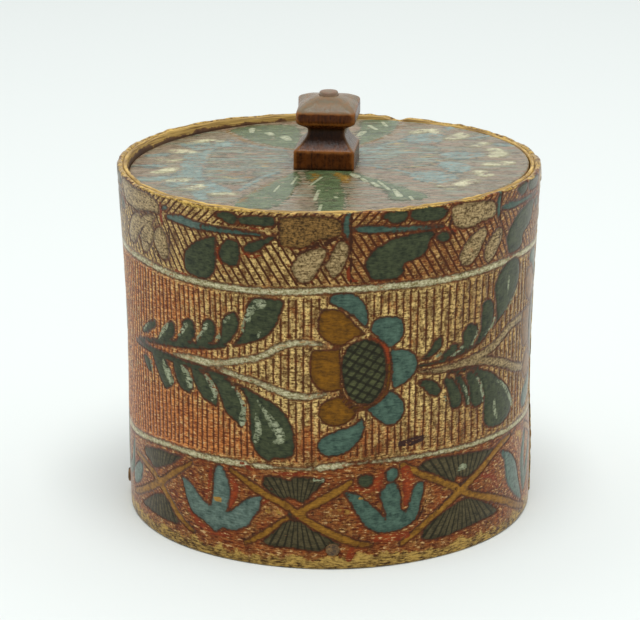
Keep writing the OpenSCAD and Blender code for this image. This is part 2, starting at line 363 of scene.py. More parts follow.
# A spray: two rows of leaves that grow to the right along two branches, each leaf lit by a white stroke,
# and two cream stems between them that run on to the flower. Places are counted from its root.
SPRAY = {
    "green": [
        [(11.5, 87.5), (15, 90.3), (18.5, 92.5), (22, 94), (23.2, 93), (22.5, 91), (19.5, 89), (16, 87),
         (13, 86.3)],
        [(24, 86), (26.5, 89.5), (29, 92.5), (31.5, 95), (33.8, 96.3), (35.7, 95), (35.5, 92), (34, 89.5),
         (31, 87.3), (27.5, 85.5)],
        [(36, 87), (37, 90.5), (39.5, 93.5), (40, 97), (41.5, 98.8), (44, 99.5), (46, 98.8), (47, 96),
         (46.5, 92.5), (44, 90), (40, 88)],
        [(48, 88.8), (47, 90.5), (49.5, 93.5), (50.5, 97), (51.5, 100), (53.5, 101.3), (56, 101.2),
         (57.3, 99.5), (57.2, 95.5), (55.5, 92), (52, 90)],
        [(57, 90), (56.5, 91), (58.5, 93), (59.7, 96), (60, 100), (61.5, 103.5), (63.5, 105.5), (66, 106),
         (67.7, 104.5), (68, 101), (66.5, 97), (63.5, 93.5), (60, 91)],
        [(64.2, 91.4), (67.2, 94.5), (69.2, 97.8), (70.6, 102.5), (70.9, 106.6), (72.2, 110.6),
         (74.3, 113), (80.3, 113.3), (86.4, 112.6), (85.4, 107.9), (84, 103.9), (81.7, 99.8), (79, 97.2),
         (74.3, 94.8), (69.6, 93.1)],
        [(8, 82.5, 0.7), (16, 83.8, 0.9), (24, 85.3, 1.1), (32, 86.5, 1.4), (42, 88, 1.5), (52, 89.4, 1.2),
         (61, 91, 0.9)],
        [(12, 76), (14.5, 77), (17, 76), (18.5, 73.5), (18.8, 71), (16.5, 70.8), (14, 72.5)],
        [(20.1, 79.6), (21.5, 75.6), (24.1, 71.6), (26.8, 68.2), (28.8, 66.5), (31.5, 67.5), (33.6, 69.6),
         (33.2, 72.9), (30.9, 76.3), (28.2, 79.3)],
        [(34, 79.8), (38, 79.5), (41.5, 77.5), (44, 74.5), (45, 71), (43.5, 68.3), (40, 68.2), (37, 70),
         (35, 73.5), (34, 77)],
        [(44, 79.3), (48, 79), (52, 76), (55.5, 72), (57.5, 68.5), (57, 65.2), (54, 65.8), (50, 67.5),
         (47, 71), (44.7, 75.5)],
        [(52, 79), (58, 78.8), (63, 76.5), (66.5, 73), (69, 68.5), (70.2, 64), (69.5, 60), (68, 57.8),
         (65.5, 60.5), (61.5, 63), (59.5, 67), (58, 71), (55, 75.5)],
        [(61.5, 77.7), (66.9, 75.3), (70.2, 71.6), (71.9, 66.9), (71.9, 60.8), (72.2, 54.1), (73.6, 50.1),
         (76.3, 46.7), (79.6, 45), (81.7, 46.7), (85.7, 46.7), (89.7, 48.7), (90.4, 54.1), (89.7, 59.5),
         (87.7, 64.2), (84.4, 68.2), (80.3, 70.9), (75.6, 72.9), (70.2, 75.2)],
        [(4, 80.4, 0.8), (14, 80.6, 1.2), (26, 80.5, 1.5), (40, 80, 1.3), (52, 79.4, 1.1), (63, 78, 0.8)],
    ],
    "white": [
        [(12.5, 87.3, 0.4), (15, 89.6, 0.8), (18, 91.4, 0.5)],
        [(25, 87, 0.5), (27.3, 90, 1), (29.8, 92.8, 1.2), (31.7, 95, 0.6)],
        [(37, 90.6, 0.5), (40, 93.6, 1), (42, 96.6, 1.3)],
        [(47.5, 91.6, 0.6), (50.5, 94.8, 0.9), (52.8, 98.8, 1.3)], [(57.6, 93, 0.7), (59.2, 95.5, 0.8)],
        [(61.8, 101.5, 0.7), (63.5, 103.5, 1.1)], [(69.5, 98.6, 0.7), (70, 102.2, 0.9)],
        [(71.6, 104, 1.4), (73.4, 108.2, 1.5)], [(75.4, 110.4, 2), (78, 110.9, 2)],
        [(75.8, 97, 0.5), (77, 99, 0.5)], [(17.5, 76, 0.5), (19, 73, 0.9), (19.2, 70.4, 0.6)],
        [(27.5, 79, 0.5), (28.8, 75.6, 1.3), (30.9, 72.9, 1.9), (32.5, 70, 1.3)],
        [(38.5, 79, 0.5), (41.5, 75.5, 1.6), (43.5, 71.5, 1.4), (41.5, 71, 0.6)],
        [(51.4, 77, 0.6), (54.1, 74.3, 1.2), (56.1, 70.9, 1.4), (54.6, 67, 0.5)],
        [(64.2, 75, 0.5), (67.5, 71.6, 0.8), (69.4, 66.9, 1.1), (68.6, 60.8, 1.4), (68.9, 58.4, 0.6)],
        [(74.6, 65, 0.5), (75.6, 58.8, 1.5), (74.6, 53.4, 1.3)],
        [(75.6, 70.3, 0.4), (79, 65.5, 1), (81.7, 61.5, 1.9), (84.4, 57.5, 2), (85, 54.1, 1.5)],
        [(80, 52.6, 0.5), (83, 54, 0.8)],
    ],
    "cream": [
        [(34.5, 82, 0.9), (44, 83, 1.5), (52, 82.8, 1.8), (59, 83.8, 1.4), (66, 85.6, 1.4),
         (73, 87.5, 1.4), (79, 90, 1.5), (84, 93.3, 1.5), (89, 95.3, 1.4), (94, 96, 1.3), (99, 95.6, 1.1),
         (103, 94.3, 0.5)],
        [(57, 81, 0.8), (62, 80.3, 1.2), (69, 79.2, 1.3), (76, 78, 1.4), (82, 76, 1.5), (89, 74, 1.6),
         (95, 73.5, 1.5), (100, 74.2, 1), (104, 75, 0.4)],
    ],
}
# The second spray, whose leaves are rounder and whose stems are tan
SPRAY_2 = {
    "green": [
        [(36.5, 86.5), (39.5, 88.5), (41.5, 91), (43.5, 93.8), (45.5, 95), (46.5, 93.5), (46.3, 90.5),
         (44, 88.3), (40.5, 86.5)],
        [(45.5, 86), (48, 88), (50.5, 90), (53, 90.8), (54.5, 89.5), (54, 87.3), (51, 85.8), (48, 85)],
        [(54.5, 86.5), (56.8, 90), (56.5, 93.5), (57.5, 96), (60, 97.3), (63.5, 96.5), (65.3, 94.5),
         (64.3, 91.5), (62.5, 88.8), (59.5, 86.8)],
        [(63, 87.5), (65.5, 90.5), (67, 94.5), (67, 99.5), (67.3, 103.5), (69, 105.3), (72.5, 105),
         (74.5, 102), (75, 97.5), (73.5, 93.5), (70, 90), (66, 87.8)],
        [(70, 89), (74.5, 92), (77, 95.5), (76.5, 99.5), (75.5, 104), (74.5, 109), (76, 113), (79, 116),
         (83, 118), (90, 118.5), (94, 116), (95, 110), (93, 105.5), (88.5, 101), (83, 97), (78, 94),
         (73, 91)],
        [(36.5, 77.5), (39.5, 78), (43, 76.8), (45.5, 74.5), (46.8, 71.5), (45, 70), (41.5, 71),
         (38.5, 74), (36.3, 76)],
        [(48, 77), (51.5, 76.5), (54.5, 73), (57, 69), (57.5, 65), (56, 63), (53, 63), (51, 66),
         (50, 70.5), (48.3, 74)],
        [(53, 78.3), (57, 76), (60, 71.5), (61.5, 67), (61.5, 63), (59.5, 62.5), (58.5, 66), (56.5, 71),
         (53.5, 76)],
        [(60, 76.5), (64, 75.5), (67, 71.5), (69.5, 66.5), (70, 62.5), (67, 60.8), (63.5, 61.5), (62, 65),
         (61.5, 70), (59.5, 74)],
        [(62, 77), (68, 76.3), (74, 74), (79, 70.5), (84.5, 66.5), (89, 62), (91.5, 57), (90, 52.5),
         (86, 49.8), (80, 48.9), (74.5, 49.8), (71, 52), (70, 57), (70.5, 62), (69.5, 67), (67.5, 72),
         (64, 75.5)],
        [(36.5, 84, 0.6), (50, 84.6, 0.8), (62, 87, 0.8), (70, 89.5, 0.7)],
        [(50, 79.2, 0.6), (58, 78.5, 0.8), (66, 77.4, 0.9)],
    ],
    "white": [
        [(41.5, 86.4, 0.4), (46.5, 87.5, 0.8)], [(51, 85.5, 0.4), (54, 86.8, 0.6), (57.3, 88.4, 0.8)],
        [(61, 87.6, 0.5), (64, 91, 0.7), (65.6, 95, 0.9)],
        [(70, 91, 0.5), (74, 93.5, 0.9), (75.6, 96.5, 0.7)],
        [(84.5, 104.5, 0.6), (85, 108, 0.9), (85, 112, 0.6)],
        [(80, 95.5, 0.4), (87, 99.5, 0.7), (94, 105, 0.7)], [(48.8, 69, 0.5), (50, 65.6, 0.8)],
        [(57.3, 73, 0.4), (60, 68, 0.8), (61.5, 63, 0.7)],
        [(65, 74, 0.4), (68, 70, 0.9), (69.3, 65, 1), (69.4, 62, 0.6)],
        [(79, 68.5, 0.5), (84, 65.5, 0.9), (88.5, 60, 1.2), (92, 54.5, 1)],
        [(77, 61, 0.6), (77.5, 56, 1.2), (79.5, 52.5, 0.8)],
    ],
    "pale": [
        [(35.5, 82, 0.5), (40, 81, 1.1), (48, 80.8, 1.6), (58, 81.4, 1.8), (66, 82.4, 1.9), (76, 84.4, 2),
         (83, 87.5, 2), (90, 90, 2), (104, 90.6, 1.9)],
        [(60, 80.6, 1.2), (70, 79.3, 1.8), (78, 77, 2), (86, 74, 2), (95, 70, 2), (106, 67, 1.9)],
    ],
}
# A flower: a seed head with cross-hatching in an ochre ring, ochre petals on its left and blue petals
# above, right and below. Places are counted from the seed head's middle.
FLOWER = {
    "seed": [
        [(-4.8, 95), (-0.1, 96.9), (4.8, 96.4), (8, 93.4), (9.3, 89), (9.6, 83.6), (9, 78), (6.8, 72.8),
         (2.8, 69.9), (-2.1, 70.8), (-5.5, 73.5), (-7.3, 78.2), (-8, 83.6), (-7.6, 89.6)],
    ],
    "ochre": [
        [(3, 97.7, 0.5), (8.4, 95, 0.8), (10.5, 90, 0.9), (10.9, 84, 0.8), (10.2, 77.5, 0.8),
         (7.8, 71.8, 0.9), (2.8, 68.7, 0.9), (-3, 69.2, 0.8), (-7, 72.6, 0.7), (-8.8, 78, 0.6)],
        [(-15.6, 109.5), (-15.6, 109.5), (-11.5, 109.8), (-8.2, 108.8), (-5.5, 106.5), (-2.8, 103.4),
         (-0.1, 100.4), (1.6, 98.7), (1.6, 98.7), (-2.1, 98.4), (-4.8, 96.7), (-7.5, 95), (-10.9, 95),
         (-14.2, 97), (-16.6, 99.7), (-17, 102.4), (-16.9, 106.5)],
        [(-18.9, 92.7), (-12.9, 93), (-8.8, 93.3), (-8.8, 93.3), (-8.3, 84.9), (-8.5, 76.8), (-8.5, 76.8),
         (-12.2, 75.8), (-16.2, 76.5), (-18.9, 79.5), (-20.3, 83.6), (-19.9, 89)],
        [(-13.9, 72.2), (-8.8, 73.5), (-8.8, 73.5), (-6.8, 70.8), (-4.1, 68.5), (-2.1, 67.1), (-4.1, 64.1),
         (-7.5, 62.1), (-10.9, 61.4), (-14.9, 62.8), (-16.9, 66.1), (-16.2, 69.5)],
    ],
    "blue": [
        [(-12.9, 113.2), (-11.5, 115.7), (-8.8, 116.4), (-4.8, 116.2), (-2.1, 115), (0.3, 112.5),
         (1.8, 108.8), (2.1, 105.4), (1.6, 101.8), (-0.8, 103.8), (-3.4, 106.5), (-6.8, 109.2),
         (-9.5, 110.5), (-12.2, 112.2)],
        [(3.3, 100.4), (4, 103.8), (6.6, 105.6), (11.3, 105.8), (15.4, 104.8), (16.7, 100.4), (16.1, 97),
         (14, 94.7), (11.3, 93), (8.7, 95), (6, 97.7)],
        [(10.7, 91.7), (14, 92), (18.1, 91.3), (21.4, 89), (22.7, 85.6), (22.1, 82.2), (19.4, 78.9),
         (16.1, 76.8), (12.7, 75.8), (11.9, 79.5), (12, 86.2)],
        [(1.9, 68.2), (5.3, 69.5), (9.3, 72.9), (11.3, 74.8), (14.7, 72.9), (17.1, 69.5), (17.4, 66.1),
         (15.4, 62.1), (12, 60.4), (8.7, 61.4), (5.3, 64.1), (2.9, 66.8)],
        [(-0.1, 64.1), (1.3, 60.8), (-0.1, 56.7), (-2.8, 52.7), (-7.5, 49.7), (-12.9, 48.5), (-16.2, 50),
         (-17.6, 52.7), (-16.2, 56.1), (-12.9, 58.1), (-7.5, 60.1), (-2.8, 61.8)],
    ],
    "red": [[(4, 97, 0.8), (8, 94.6, 1.7), (10, 90.6, 1.4), (10.5, 86.5, 0.7)]],
}
FLOWERS = np.array([13.0, 120, 268, 392])
for flower in FLOWERS:
    lay(wall, FLOWER, flower)
lay(wall, SPRAY, -104)
lay(wall, SPRAY_2)
lay(wall, SPRAY, 150, 1.03)
lay(wall, SPRAY, 274)

# Scroll frieze under the rim: a stem from each blue calyx, dark leaves on both sides of it, and a pale
# flower. The front left is drawn apart, because its leaves and flowers differ.
SCROLL = {
    "blue": [
        [(0.4, 149, 1), (-0.9, 145.3, 1.4), (-0.7, 141, 1.3), (0.1, 137.4, 0.4)],
        [(1.5, 142.3, 0.8), (7.5, 142, 1.7), (14.5, 141.5, 1.3), (22.5, 141.2, 1.2), (32.5, 140.8, 0.9),
         (37.5, 140.5, 0.5)],
    ],
    "green": [
        [(6.2, 127.9), (7.2, 130.5), (9.3, 133.2), (13, 135.8), (17.2, 137.9), (21, 138.4), (26.7, 139.3),
         (32.9, 138.9), (34.3, 137.4), (32.4, 135.8), (31.5, 132.9), (30, 130.1), (25.8, 128.2),
         (21.5, 126.8), (21.5, 123.5), (18.7, 121.3), (12.5, 120.9), (8.8, 121.6), (7.2, 124.7)],
        [(34.8, 136.5), (36.5, 138.4), (39, 138.3), (41.3, 136.5), (41, 134.8), (38.5, 133.8),
         (36, 134.3)],
        [(12, 147.3), (16.5, 148.8), (21.5, 148.8), (23, 147), (21.5, 144.6), (17.5, 143.6)],
        [(23.8, 148), (28.5, 149), (34.5, 148.8), (38.5, 147.8), (39.5, 145.5), (37, 143.5), (32.5, 143),
         (27.5, 143.5), (24, 145)],
    ],
    "pale": [
        [(41, 145), (41.5, 147.5), (47.5, 148.5), (55.5, 147.8), (62.5, 146.5), (65, 144), (65.3, 141),
         (62.5, 139.5), (56.5, 139), (50.5, 137.8), (45.5, 138.3), (42.5, 140.5)],
        [(46, 127.5), (48, 131), (51.5, 134.5), (55.5, 136.3), (58.5, 136.5), (60.5, 134), (58.5, 130.5),
         (56.5, 127), (54.5, 124.3), (51, 122), (47.5, 122.8), (46, 125)],
        [(59, 126.5), (61, 130), (64, 133), (68, 134.5), (70.5, 132.5), (70, 129), (68, 126), (65.5, 123),
         (62.5, 121), (59.5, 122.5)],
    ],
    "line": [
        [(0.8, 148, 0.4), (0.9, 134, 0.5), (0.8, 120.5, 0.4)],
        [(41.2, 143, 0.6), (40.6, 139, 0.7), (43, 136.5, 0.6)], [(47, 144.6, 0.4), (56.5, 144.5, 0.4)],
        [(58.5, 128, 0.5), (61.5, 131.5, 0.5), (66, 134.6, 0.4)],
    ],
    "red": [[(37, 140.2, 0.7), (41, 138.6, 1), (44, 136.8, 0.7)], [(22.4, 148.5, 0.3), (24, 145.5, 0.3)]],
}
SCROLL_LEFT = {
    "blue": [[(-50, 139.5, 1.4), (-40, 139.3, 1.2), (-30, 139.2, 0.9), (-24.5, 138.8, 0.5)]],
    "steel": [
        [(-71.6, 143.4, 1.1), (-69.8, 143.9, 1.1)],
        [(-69, 140.2, 1), (-62, 140.5, 1.8), (-55, 139.7, 1.8), (-49, 139.5, 1.5)],
    ],
    "red": [
        [(-73.6, 145, 0.6), (-73.4, 140, 0.9), (-73, 136, 0.7)], [(-31, 141.6, 0.5), (-25, 141.5, 0.5)],
        [(-43.8, 132, 0.6), (-43.6, 128, 0.9), (-42.5, 125.8, 0.7)],
        [(-34.2, 132.5, 0.7), (-30.5, 130, 0.8), (-26, 131, 0.6)],
        [(-66, 118.6, 0.6), (-60.5, 118.2, 0.8)], [(7.6, 127, 0.6), (7.8, 122, 0.9), (10.5, 121.6, 0.6)],
    ],
    "green": [
        [(-60, 127.4), (-57.9, 130), (-54.7, 132.4), (-51.1, 134.5), (-47.9, 135.8), (-44.7, 136.6),
         (-44.7, 136.6), (-45, 131.6), (-45, 126.3), (-45.5, 123.2), (-47.4, 120), (-50.5, 118.2),
         (-54.7, 118.2), (-58.4, 118.9), (-60.5, 121), (-60.6, 124.7)],
        [(-43.4, 130), (-42.4, 133.2), (-40, 135.8), (-36.3, 136), (-34.8, 134.2), (-34.7, 130),
         (-35.3, 126.3), (-37.4, 125), (-40.5, 125.5), (-42.6, 126.8)],
        [(-33.4, 132.4), (-32.6, 134.2), (-29.5, 136), (-25.3, 137.4), (-21, 139.5), (-20.3, 138.4),
         (-22.6, 136), (-25.3, 134.2), (-26.6, 132.6), (-29.5, 131.4), (-32, 131.4)],
        [(-44.7, 146.3), (-41.6, 147.4), (-37.4, 147.4), (-35.3, 146), (-35.2, 144.2), (-36.3, 142.1),
         (-39, 142.1), (-41.6, 143.7), (-44.2, 144.7)],
        [(-34.4, 146), (-28, 146.8), (-21, 147), (-20.5, 144.5), (-21, 142.8), (-26, 142.4), (-32, 142.6),
         (-34.4, 143.2)],
    ],
    "brown": [
        [(-19, 140), (-18.7, 144.7), (-18.2, 146.8), (-12.1, 147.4), (-5.3, 147.6), (1.1, 147.4),
         (4.2, 145.8), (5.3, 142.6), (3.7, 139.5), (-0.5, 138.2), (-4.7, 137.6), (-7.9, 135.5),
         (-10.5, 134.2), (-14.7, 134.7), (-18.2, 135)],
    ],
    "pale": [
        [(-12.6, 130), (-10.5, 132.6), (-6.8, 134.2), (-3.2, 135), (-0.5, 134.2), (-1.1, 131.6),
         (-2.6, 127.9), (-4.2, 125.3), (-5.8, 122.1), (-8.4, 120.3), (-11.6, 120.8), (-13.7, 123.7),
         (-14.5, 126.8)],
        [(1.6, 134.2), (3.7, 137.4), (6.3, 137.1), (7.6, 134.2), (6.6, 128.9), (4.7, 125.3), (2.4, 122.4),
         (0.5, 123.2), (-0.5, 125.8), (-1.6, 127.4), (0, 130.5)],
        [(-100, 141), (-95, 146), (-88, 147.5), (-80, 147), (-75, 144.5), (-74.5, 140), (-80, 139.8),
         (-87, 138.3), (-93, 137.3), (-98, 138)],
        [(-94, 131), (-90, 135), (-84, 138.2), (-78, 138.6), (-80, 135), (-83, 131), (-84.5, 127),
         (-88, 125.5), (-92, 127)],
        [(-80, 128), (-79, 132), (-75, 135), (-71.5, 133), (-70, 129), (-69.5, 125), (-71, 121.8),
         (-74.5, 121.5), (-78, 124.5)],
    ],
    "line": [
        [(-19.2, 147, 0.4), (-19.3, 141, 0.5), (-19.3, 132, 0.4)],
        [(-68.6, 137, 0.5), (-68.7, 130, 0.5), (-69, 123, 0.4)],
        [(-1.5, 136, 0.9), (2, 138.6, 0.9), (6, 138.4, 0.7)],
        [(-4, 136.4, 0.9), (-9, 133.6, 0.8), (-12.5, 132, 0.5)],
        [(-93, 138, 0.5), (-87, 138.8, 0.4), (-78, 140, 0.5)],
        [(-89, 125.6, 0.4), (-82, 125.4, 0.5), (-77, 122, 0.5)],
    ],
}
lay(wall, SCROLL_LEFT)
for calyx in (7.5, 75, 152, 229.5, 307, 384.5):
    lay(wall, SCROLL, calyx)

# Lattice frieze round the foot: ochre bars that cross, green half rosettes above and below each crossing,
# and a blue tulip in each opening. No two openings are drawn alike on the front.
CROSSING = {
    "lattice": [
        [(-31, 40.5, 1.5), (-20, 35.3, 1.8), (-8, 28.4, 1.8), (5, 21.9, 1.7), (18, 14.5, 1.8),
         (31, 9.6, 1.5)],
        [(-20, 9.4, 1.4), (-10, 17, 1.5), (0, 24.4, 1.6), (9, 29.4, 1.6), (21, 36.9, 1.6),
         (27.5, 43, 1.3)],
    ],
    "rosette": [
        [(-16, 40.3), (-8, 34.6), (0, 30.8), (8, 34.6), (16, 40.3)],
        [(-17, 8.6), (-8, 14.5), (0, 20.5), (8, 14.5), (17, 8.6)],
    ],
}
CROSSINGS_FRONT = {
    "lattice": [
        [(-107.5, 11, 1.5), (-99.7, 14.1, 1.7), (-89.7, 19.1, 1.8), (-80.2, 24.5, 1.8), (-71.1, 30.9, 1.6),
         (-64.7, 35, 1.2), (-60, 38.4, 0.8)],
        [(-105.2, 29.5, 1.4), (-94.7, 28.2, 1.6), (-84.7, 25.5, 1.8), (-75.6, 19.5, 1.8),
         (-68.4, 13.2, 1.7), (-60, 8.6, 1.2)],
        [(-41, 39.6, 0.9), (-32.2, 34.4, 1.6), (-27.6, 31.5, 1.7), (-19.5, 28, 1.8), (-9, 21, 1.8),
         (0.2, 15.8, 1.9), (10, 11.5, 1.6), (17, 10, 1)],
        [(-34.5, 8.9, 1), (-27.6, 12.9, 1.5), (-20.6, 18.2, 1.5), (-9.6, 25.7, 1.6), (-2.1, 30.3, 1.9),
         (4.3, 34.4, 1.7), (8.5, 37.5, 1.2)],
        [(30, 42.6, 1.5), (40.2, 36.8, 1.8), (49.9, 31.9, 1.9), (63.3, 23.6, 1.8), (74, 19.4, 1.8),
         (85.6, 14.4, 1.8), (99.4, 7.4, 1.7), (108.7, 4.2, 1.4)],
        [(30, 9.3, 1.4), (40.2, 15.7, 1.7), (49.9, 21.8, 1.8), (58.7, 27.3, 1.8), (68.4, 32.9, 1.8),
         (79.1, 38.9, 1.8), (89.7, 41.7, 1.4)],
    ],
    "rosette": [
        [(-94.7, 35), (-89.7, 36.4), (-80.2, 38.6), (-73.4, 38.9), (-64.7, 39.8), (-64.7, 39.8),
         (-70.2, 35.9), (-78.4, 31.4), (-86.5, 28.6), (-89.3, 30.5), (-94.3, 31.8)],
        [(-98.4, 9.1), (-94.7, 11.8), (-89.7, 15), (-84.7, 17.7), (-80.2, 19.1), (-76.5, 18.2),
         (-73.4, 15.5), (-69.7, 11.8), (-67, 9.5), (-73.4, 8.6), (-84.7, 8.4)],
        [(-25.8, 38.7), (-19.5, 38.7), (-16, 37.6), (-13.7, 39.3), (-6.1, 39.3), (-1.5, 38.9),
         (-3.2, 36.1), (-5.6, 33.2), (-8.5, 30.3), (-10.8, 28.4), (-14.8, 30), (-19.5, 29.6),
         (-22.4, 30.9), (-27, 34.4), (-26.6, 36.7)],
        [(-27.6, 9.5), (-25.3, 12.4), (-20, 17.6), (-17.2, 20.3), (-11.9, 20.6), (-6.1, 17), (2.5, 12.4),
         (4.6, 10), (-0.4, 9.3), (-5, 7.7), (-13.7, 8.6), (-20.6, 8.6)],
        [(36.9, 40), (40.2, 43), (45.3, 43.3), (55.5, 42.6), (64.7, 41.7), (78.1, 40), (78.1, 40),
         (70.7, 36.1), (63.3, 31.9), (59.6, 31.7), (55.9, 33.3), (54.1, 31.2), (47.6, 34.7), (41, 38)],
        [(39.3, 9.3), (41.1, 14.6), (49.9, 19.4), (55.9, 21.8), (59.6, 22.7), (64.3, 21.8), (74, 16.7),
         (81.4, 11.4), (76.3, 10.4), (67, 10), (57.8, 9.1), (48.5, 8.3)],
    ],
    "green": [
        [(11.8, 40), (17.2, 40), (17.4, 36.5), (15.5, 35), (12, 35.8)],
        [(-16.4, 24.4, 0.7), (-15.2, 22.6, 0.9), (-13.8, 21, 0.7)],
    ],
    "white": [[(-5.8, 38.4, 0.8), (-2.6, 38.6, 1)], [(56.5, 36, 0.8), (58.6, 36.9, 1.4), (60.6, 36, 0.6)]],
    "steel": [
        [(-66, 31.5), (-62.5, 30.3), (-59.5, 29), (-57, 26.5), (-54, 24), (-50.7, 22.2), (-50.7, 22.2),
         (-49.6, 25.7), (-49, 30.9), (-48.7, 35.5), (-48.1, 39), (-46.4, 40.5), (-44.5, 40), (-43.5, 37.8),
         (-42, 35), (-41.2, 32), (-41.2, 29.2), (-41.8, 25.1), (-42.6, 21), (-42.6, 21), (-39.7, 22.8),
         (-35.7, 26.3), (-32.2, 28.9), (-29.3, 29.8), (-26.1, 29.7), (-27.6, 28), (-27.9, 25.1),
         (-29.3, 22.2), (-31.6, 19.3), (-32.8, 16.7), (-36.8, 14.1), (-41.5, 12.9), (-45, 13.3),
         (-48.1, 11.1), (-52, 13.3), (-56, 15.3), (-60, 17), (-63, 22), (-65, 28)],
        [(82.3, 37.5), (89.7, 34.7), (94.8, 30.6), (98.1, 25.9), (99.9, 21.3), (103, 15), (106, 8),
         (99.4, 11.1), (93.9, 15.3), (88.8, 20.4), (86.5, 25.9), (85.6, 31.5), (83.2, 35.2)],
        [(-105.2, 24.5), (-101.5, 26.4), (-97.5, 25.9), (-98.4, 21.8), (-100.2, 18.2), (-104.7, 15.5),
         (-109.3, 14.1), (-110.2, 20)],
    ],
    "blue": [
        [(5.7, 33.2), (8.3, 33.2), (11.2, 32.6), (14.7, 29.7), (17.6, 26.8), (20.5, 23.9), (22.8, 20.8),
         (22.8, 20.8), (22.2, 24.5), (21.1, 28), (20.2, 31.5), (22.3, 34.5), (24.5, 36), (27, 35.5),
         (28.6, 32.6), (29.5, 29.2), (29.5, 25.1), (31.2, 22.2), (31.2, 22.2), (32.6, 24.5), (33.2, 27.4),
         (34.4, 30.9), (36.1, 34.1), (39.6, 34.1), (40, 32), (39.6, 29.7), (38.4, 25.7), (37.9, 22.2),
         (36.1, 18.7), (32.6, 16.4), (28, 15), (23.4, 14.7), (19.3, 15.3), (15.3, 17.6), (13, 20.5),
         (10.9, 23.9), (9.2, 26.3), (8.6, 28.6), (6.6, 31.5)],
        [(25.3, 39.8, 2.7), (25.5, 39, 2.7)], [(109, 36, 2), (106, 26, 3), (108, 15, 2.5)],
        [(122, 33, 1), (118.5, 27, 2.8), (114, 20, 3.4), (109, 13, 2.6)],
    ],
    "red": [
        [(19, 12.6, 1.6), (26, 12.4, 2), (32, 12.5, 1.6)], [(8, 4.5, 1.2), (9, 8, 1.6)],
        [(31.5, 40.5, 2.2), (32.6, 35, 2.6), (32, 29, 1.6), (31.6, 25, 0.7)],
        [(21, 41, 1.2), (19.5, 37, 2), (20, 33.5, 1)], [(11, 35, 1), (15, 34, 1.6), (20, 36, 1.4)],
        [(-40.5, 35, 1.2), (-39, 31, 2), (-41, 24, 1), (-42, 22, 0.5)],
        [(-50, 38, 0.8), (-51, 31, 0.8), (-52.5, 24.5, 0.6)],
        [(-62, 18, 1), (-57, 13.5, 1.4), (-50, 10.6, 1.2), (-42, 11, 1)],
        [(-36, 43, 0.6), (-31.5, 41, 0.8)], [(-22, 40.6, 0.6), (-16, 40.2, 0.9), (-9, 41, 0.6)],
        [(-31, 20, 0.7), (-28, 26, 0.7), (-24, 28.5, 0.5)], [(-15.5, 18.4, 0.7), (-14, 17.6, 0.8)],
        [(70, 30, 1.2), (77, 27.5, 1.2), (80, 22, 0.8)], [(38, 8.6, 0.5), (43, 8.8, 0.6)],
        [(-20, 24.6, 0.6), (-10, 20.5, 0.5)],
    ],
    "line": [
        [(-6.5, 24.8, 0.4), (-2, 27.3, 0.4), (3, 30, 0.4), (8, 31.6, 0.4)],
        [(-6.5, 24.2, 0.4), (0, 20.6, 0.4), (6, 17, 0.4), (12, 13.4, 0.4), (18, 10.6, 0.4)],
        [(43.5, 18, 0.4), (50, 24, 0.4), (59, 29.6, 0.5), (65, 33.4, 0.4)],
        [(62, 26, 0.4), (72, 23.4, 0.4), (86, 18, 0.4)], [(55, 27.6, 0.4), (58.5, 30.6, 0.4)],
        [(36, 17, 0.5), (38.6, 21, 0.5), (40.4, 26, 0.4)],
        [(-30, 36.5, 0.4), (-22, 32.6, 0.4), (-17, 27.6, 0.4)],
        [(-95, 26, 0.4), (-88, 24, 0.4), (-76, 29, 0.4)], [(-72, 22, 0.4), (-66, 15, 0.4), (-58, 9, 0.4)],
        [(-28, 15.6, 0.4), (-34, 11, 0.4), (-40, 9.6, 0.3)],
        [(84.5, 39.2, 0.5), (92, 41, 0.5), (99, 44, 0.4)], [(97, 32, 0.5), (101, 25, 0.5), (103, 18, 0.4)],
    ],
    "stain": [[(29, 51.8, 1.2), (34, 52.4, 1.8), (40, 53.4, 0.8)], [(-16.5, 2.8, 0.4), (-11.5, 2.9, 0.4)]],
    "bare": [
        [(-48.5, 25.5, 0.8), (-45.5, 25.7, 0.9)], [(-4, 23.6, 0.3), (2, 26, 0.3), (8.4, 25.4, 0.3)],
        [(-1, 23.6, 0.4), (8, 24.4, 0.4)], [(1, 22.2, 0.3), (9, 22.6, 0.3)],
        [(-26, 22.8, 0.4), (-19.5, 23.4, 0.5)], [(-25, 24.6, 0.4), (-20, 24.4, 0.3)],
        [(12, 30.4, 0.5), (18, 31, 0.4)], [(13, 33.4, 0.4), (18, 33.8, 0.4)],
        [(17.6, 30, 0.4), (20.4, 26.6, 0.3)], [(44, 29.8, 0.4), (51, 29, 0.3)],
        [(98, 40, 1.2), (103, 38, 1.6), (102, 35.6, 0.8)],
    ],
}
TULIP = {
    "blue": [
        [(-17.5, 32.5, 0.9), (-14, 28, 2.6), (-10.5, 22, 3.4), (-5, 18, 2.8)],
        [(14, 33.5, 1), (12.5, 27, 2.2), (10.5, 21.5, 2.8), (5, 17.5, 2.6)],
        [(0.5, 40, 2.6), (0.5, 35, 3.2), (0, 28, 3.4), (0, 20, 3.6), (0, 15.5, 1.5)],
    ],
}
CROSSINGS = np.array([-82.5, -12.5, 58.7, 140, 215, 293, 371])
lay(wall, CROSSINGS_FRONT)
for crossing in CROSSINGS[3:]:
    lay(wall, CROSSING, crossing)
for tulip in (177.5, 254, 332, 411):
    lay(wall, TULIP, tulip)

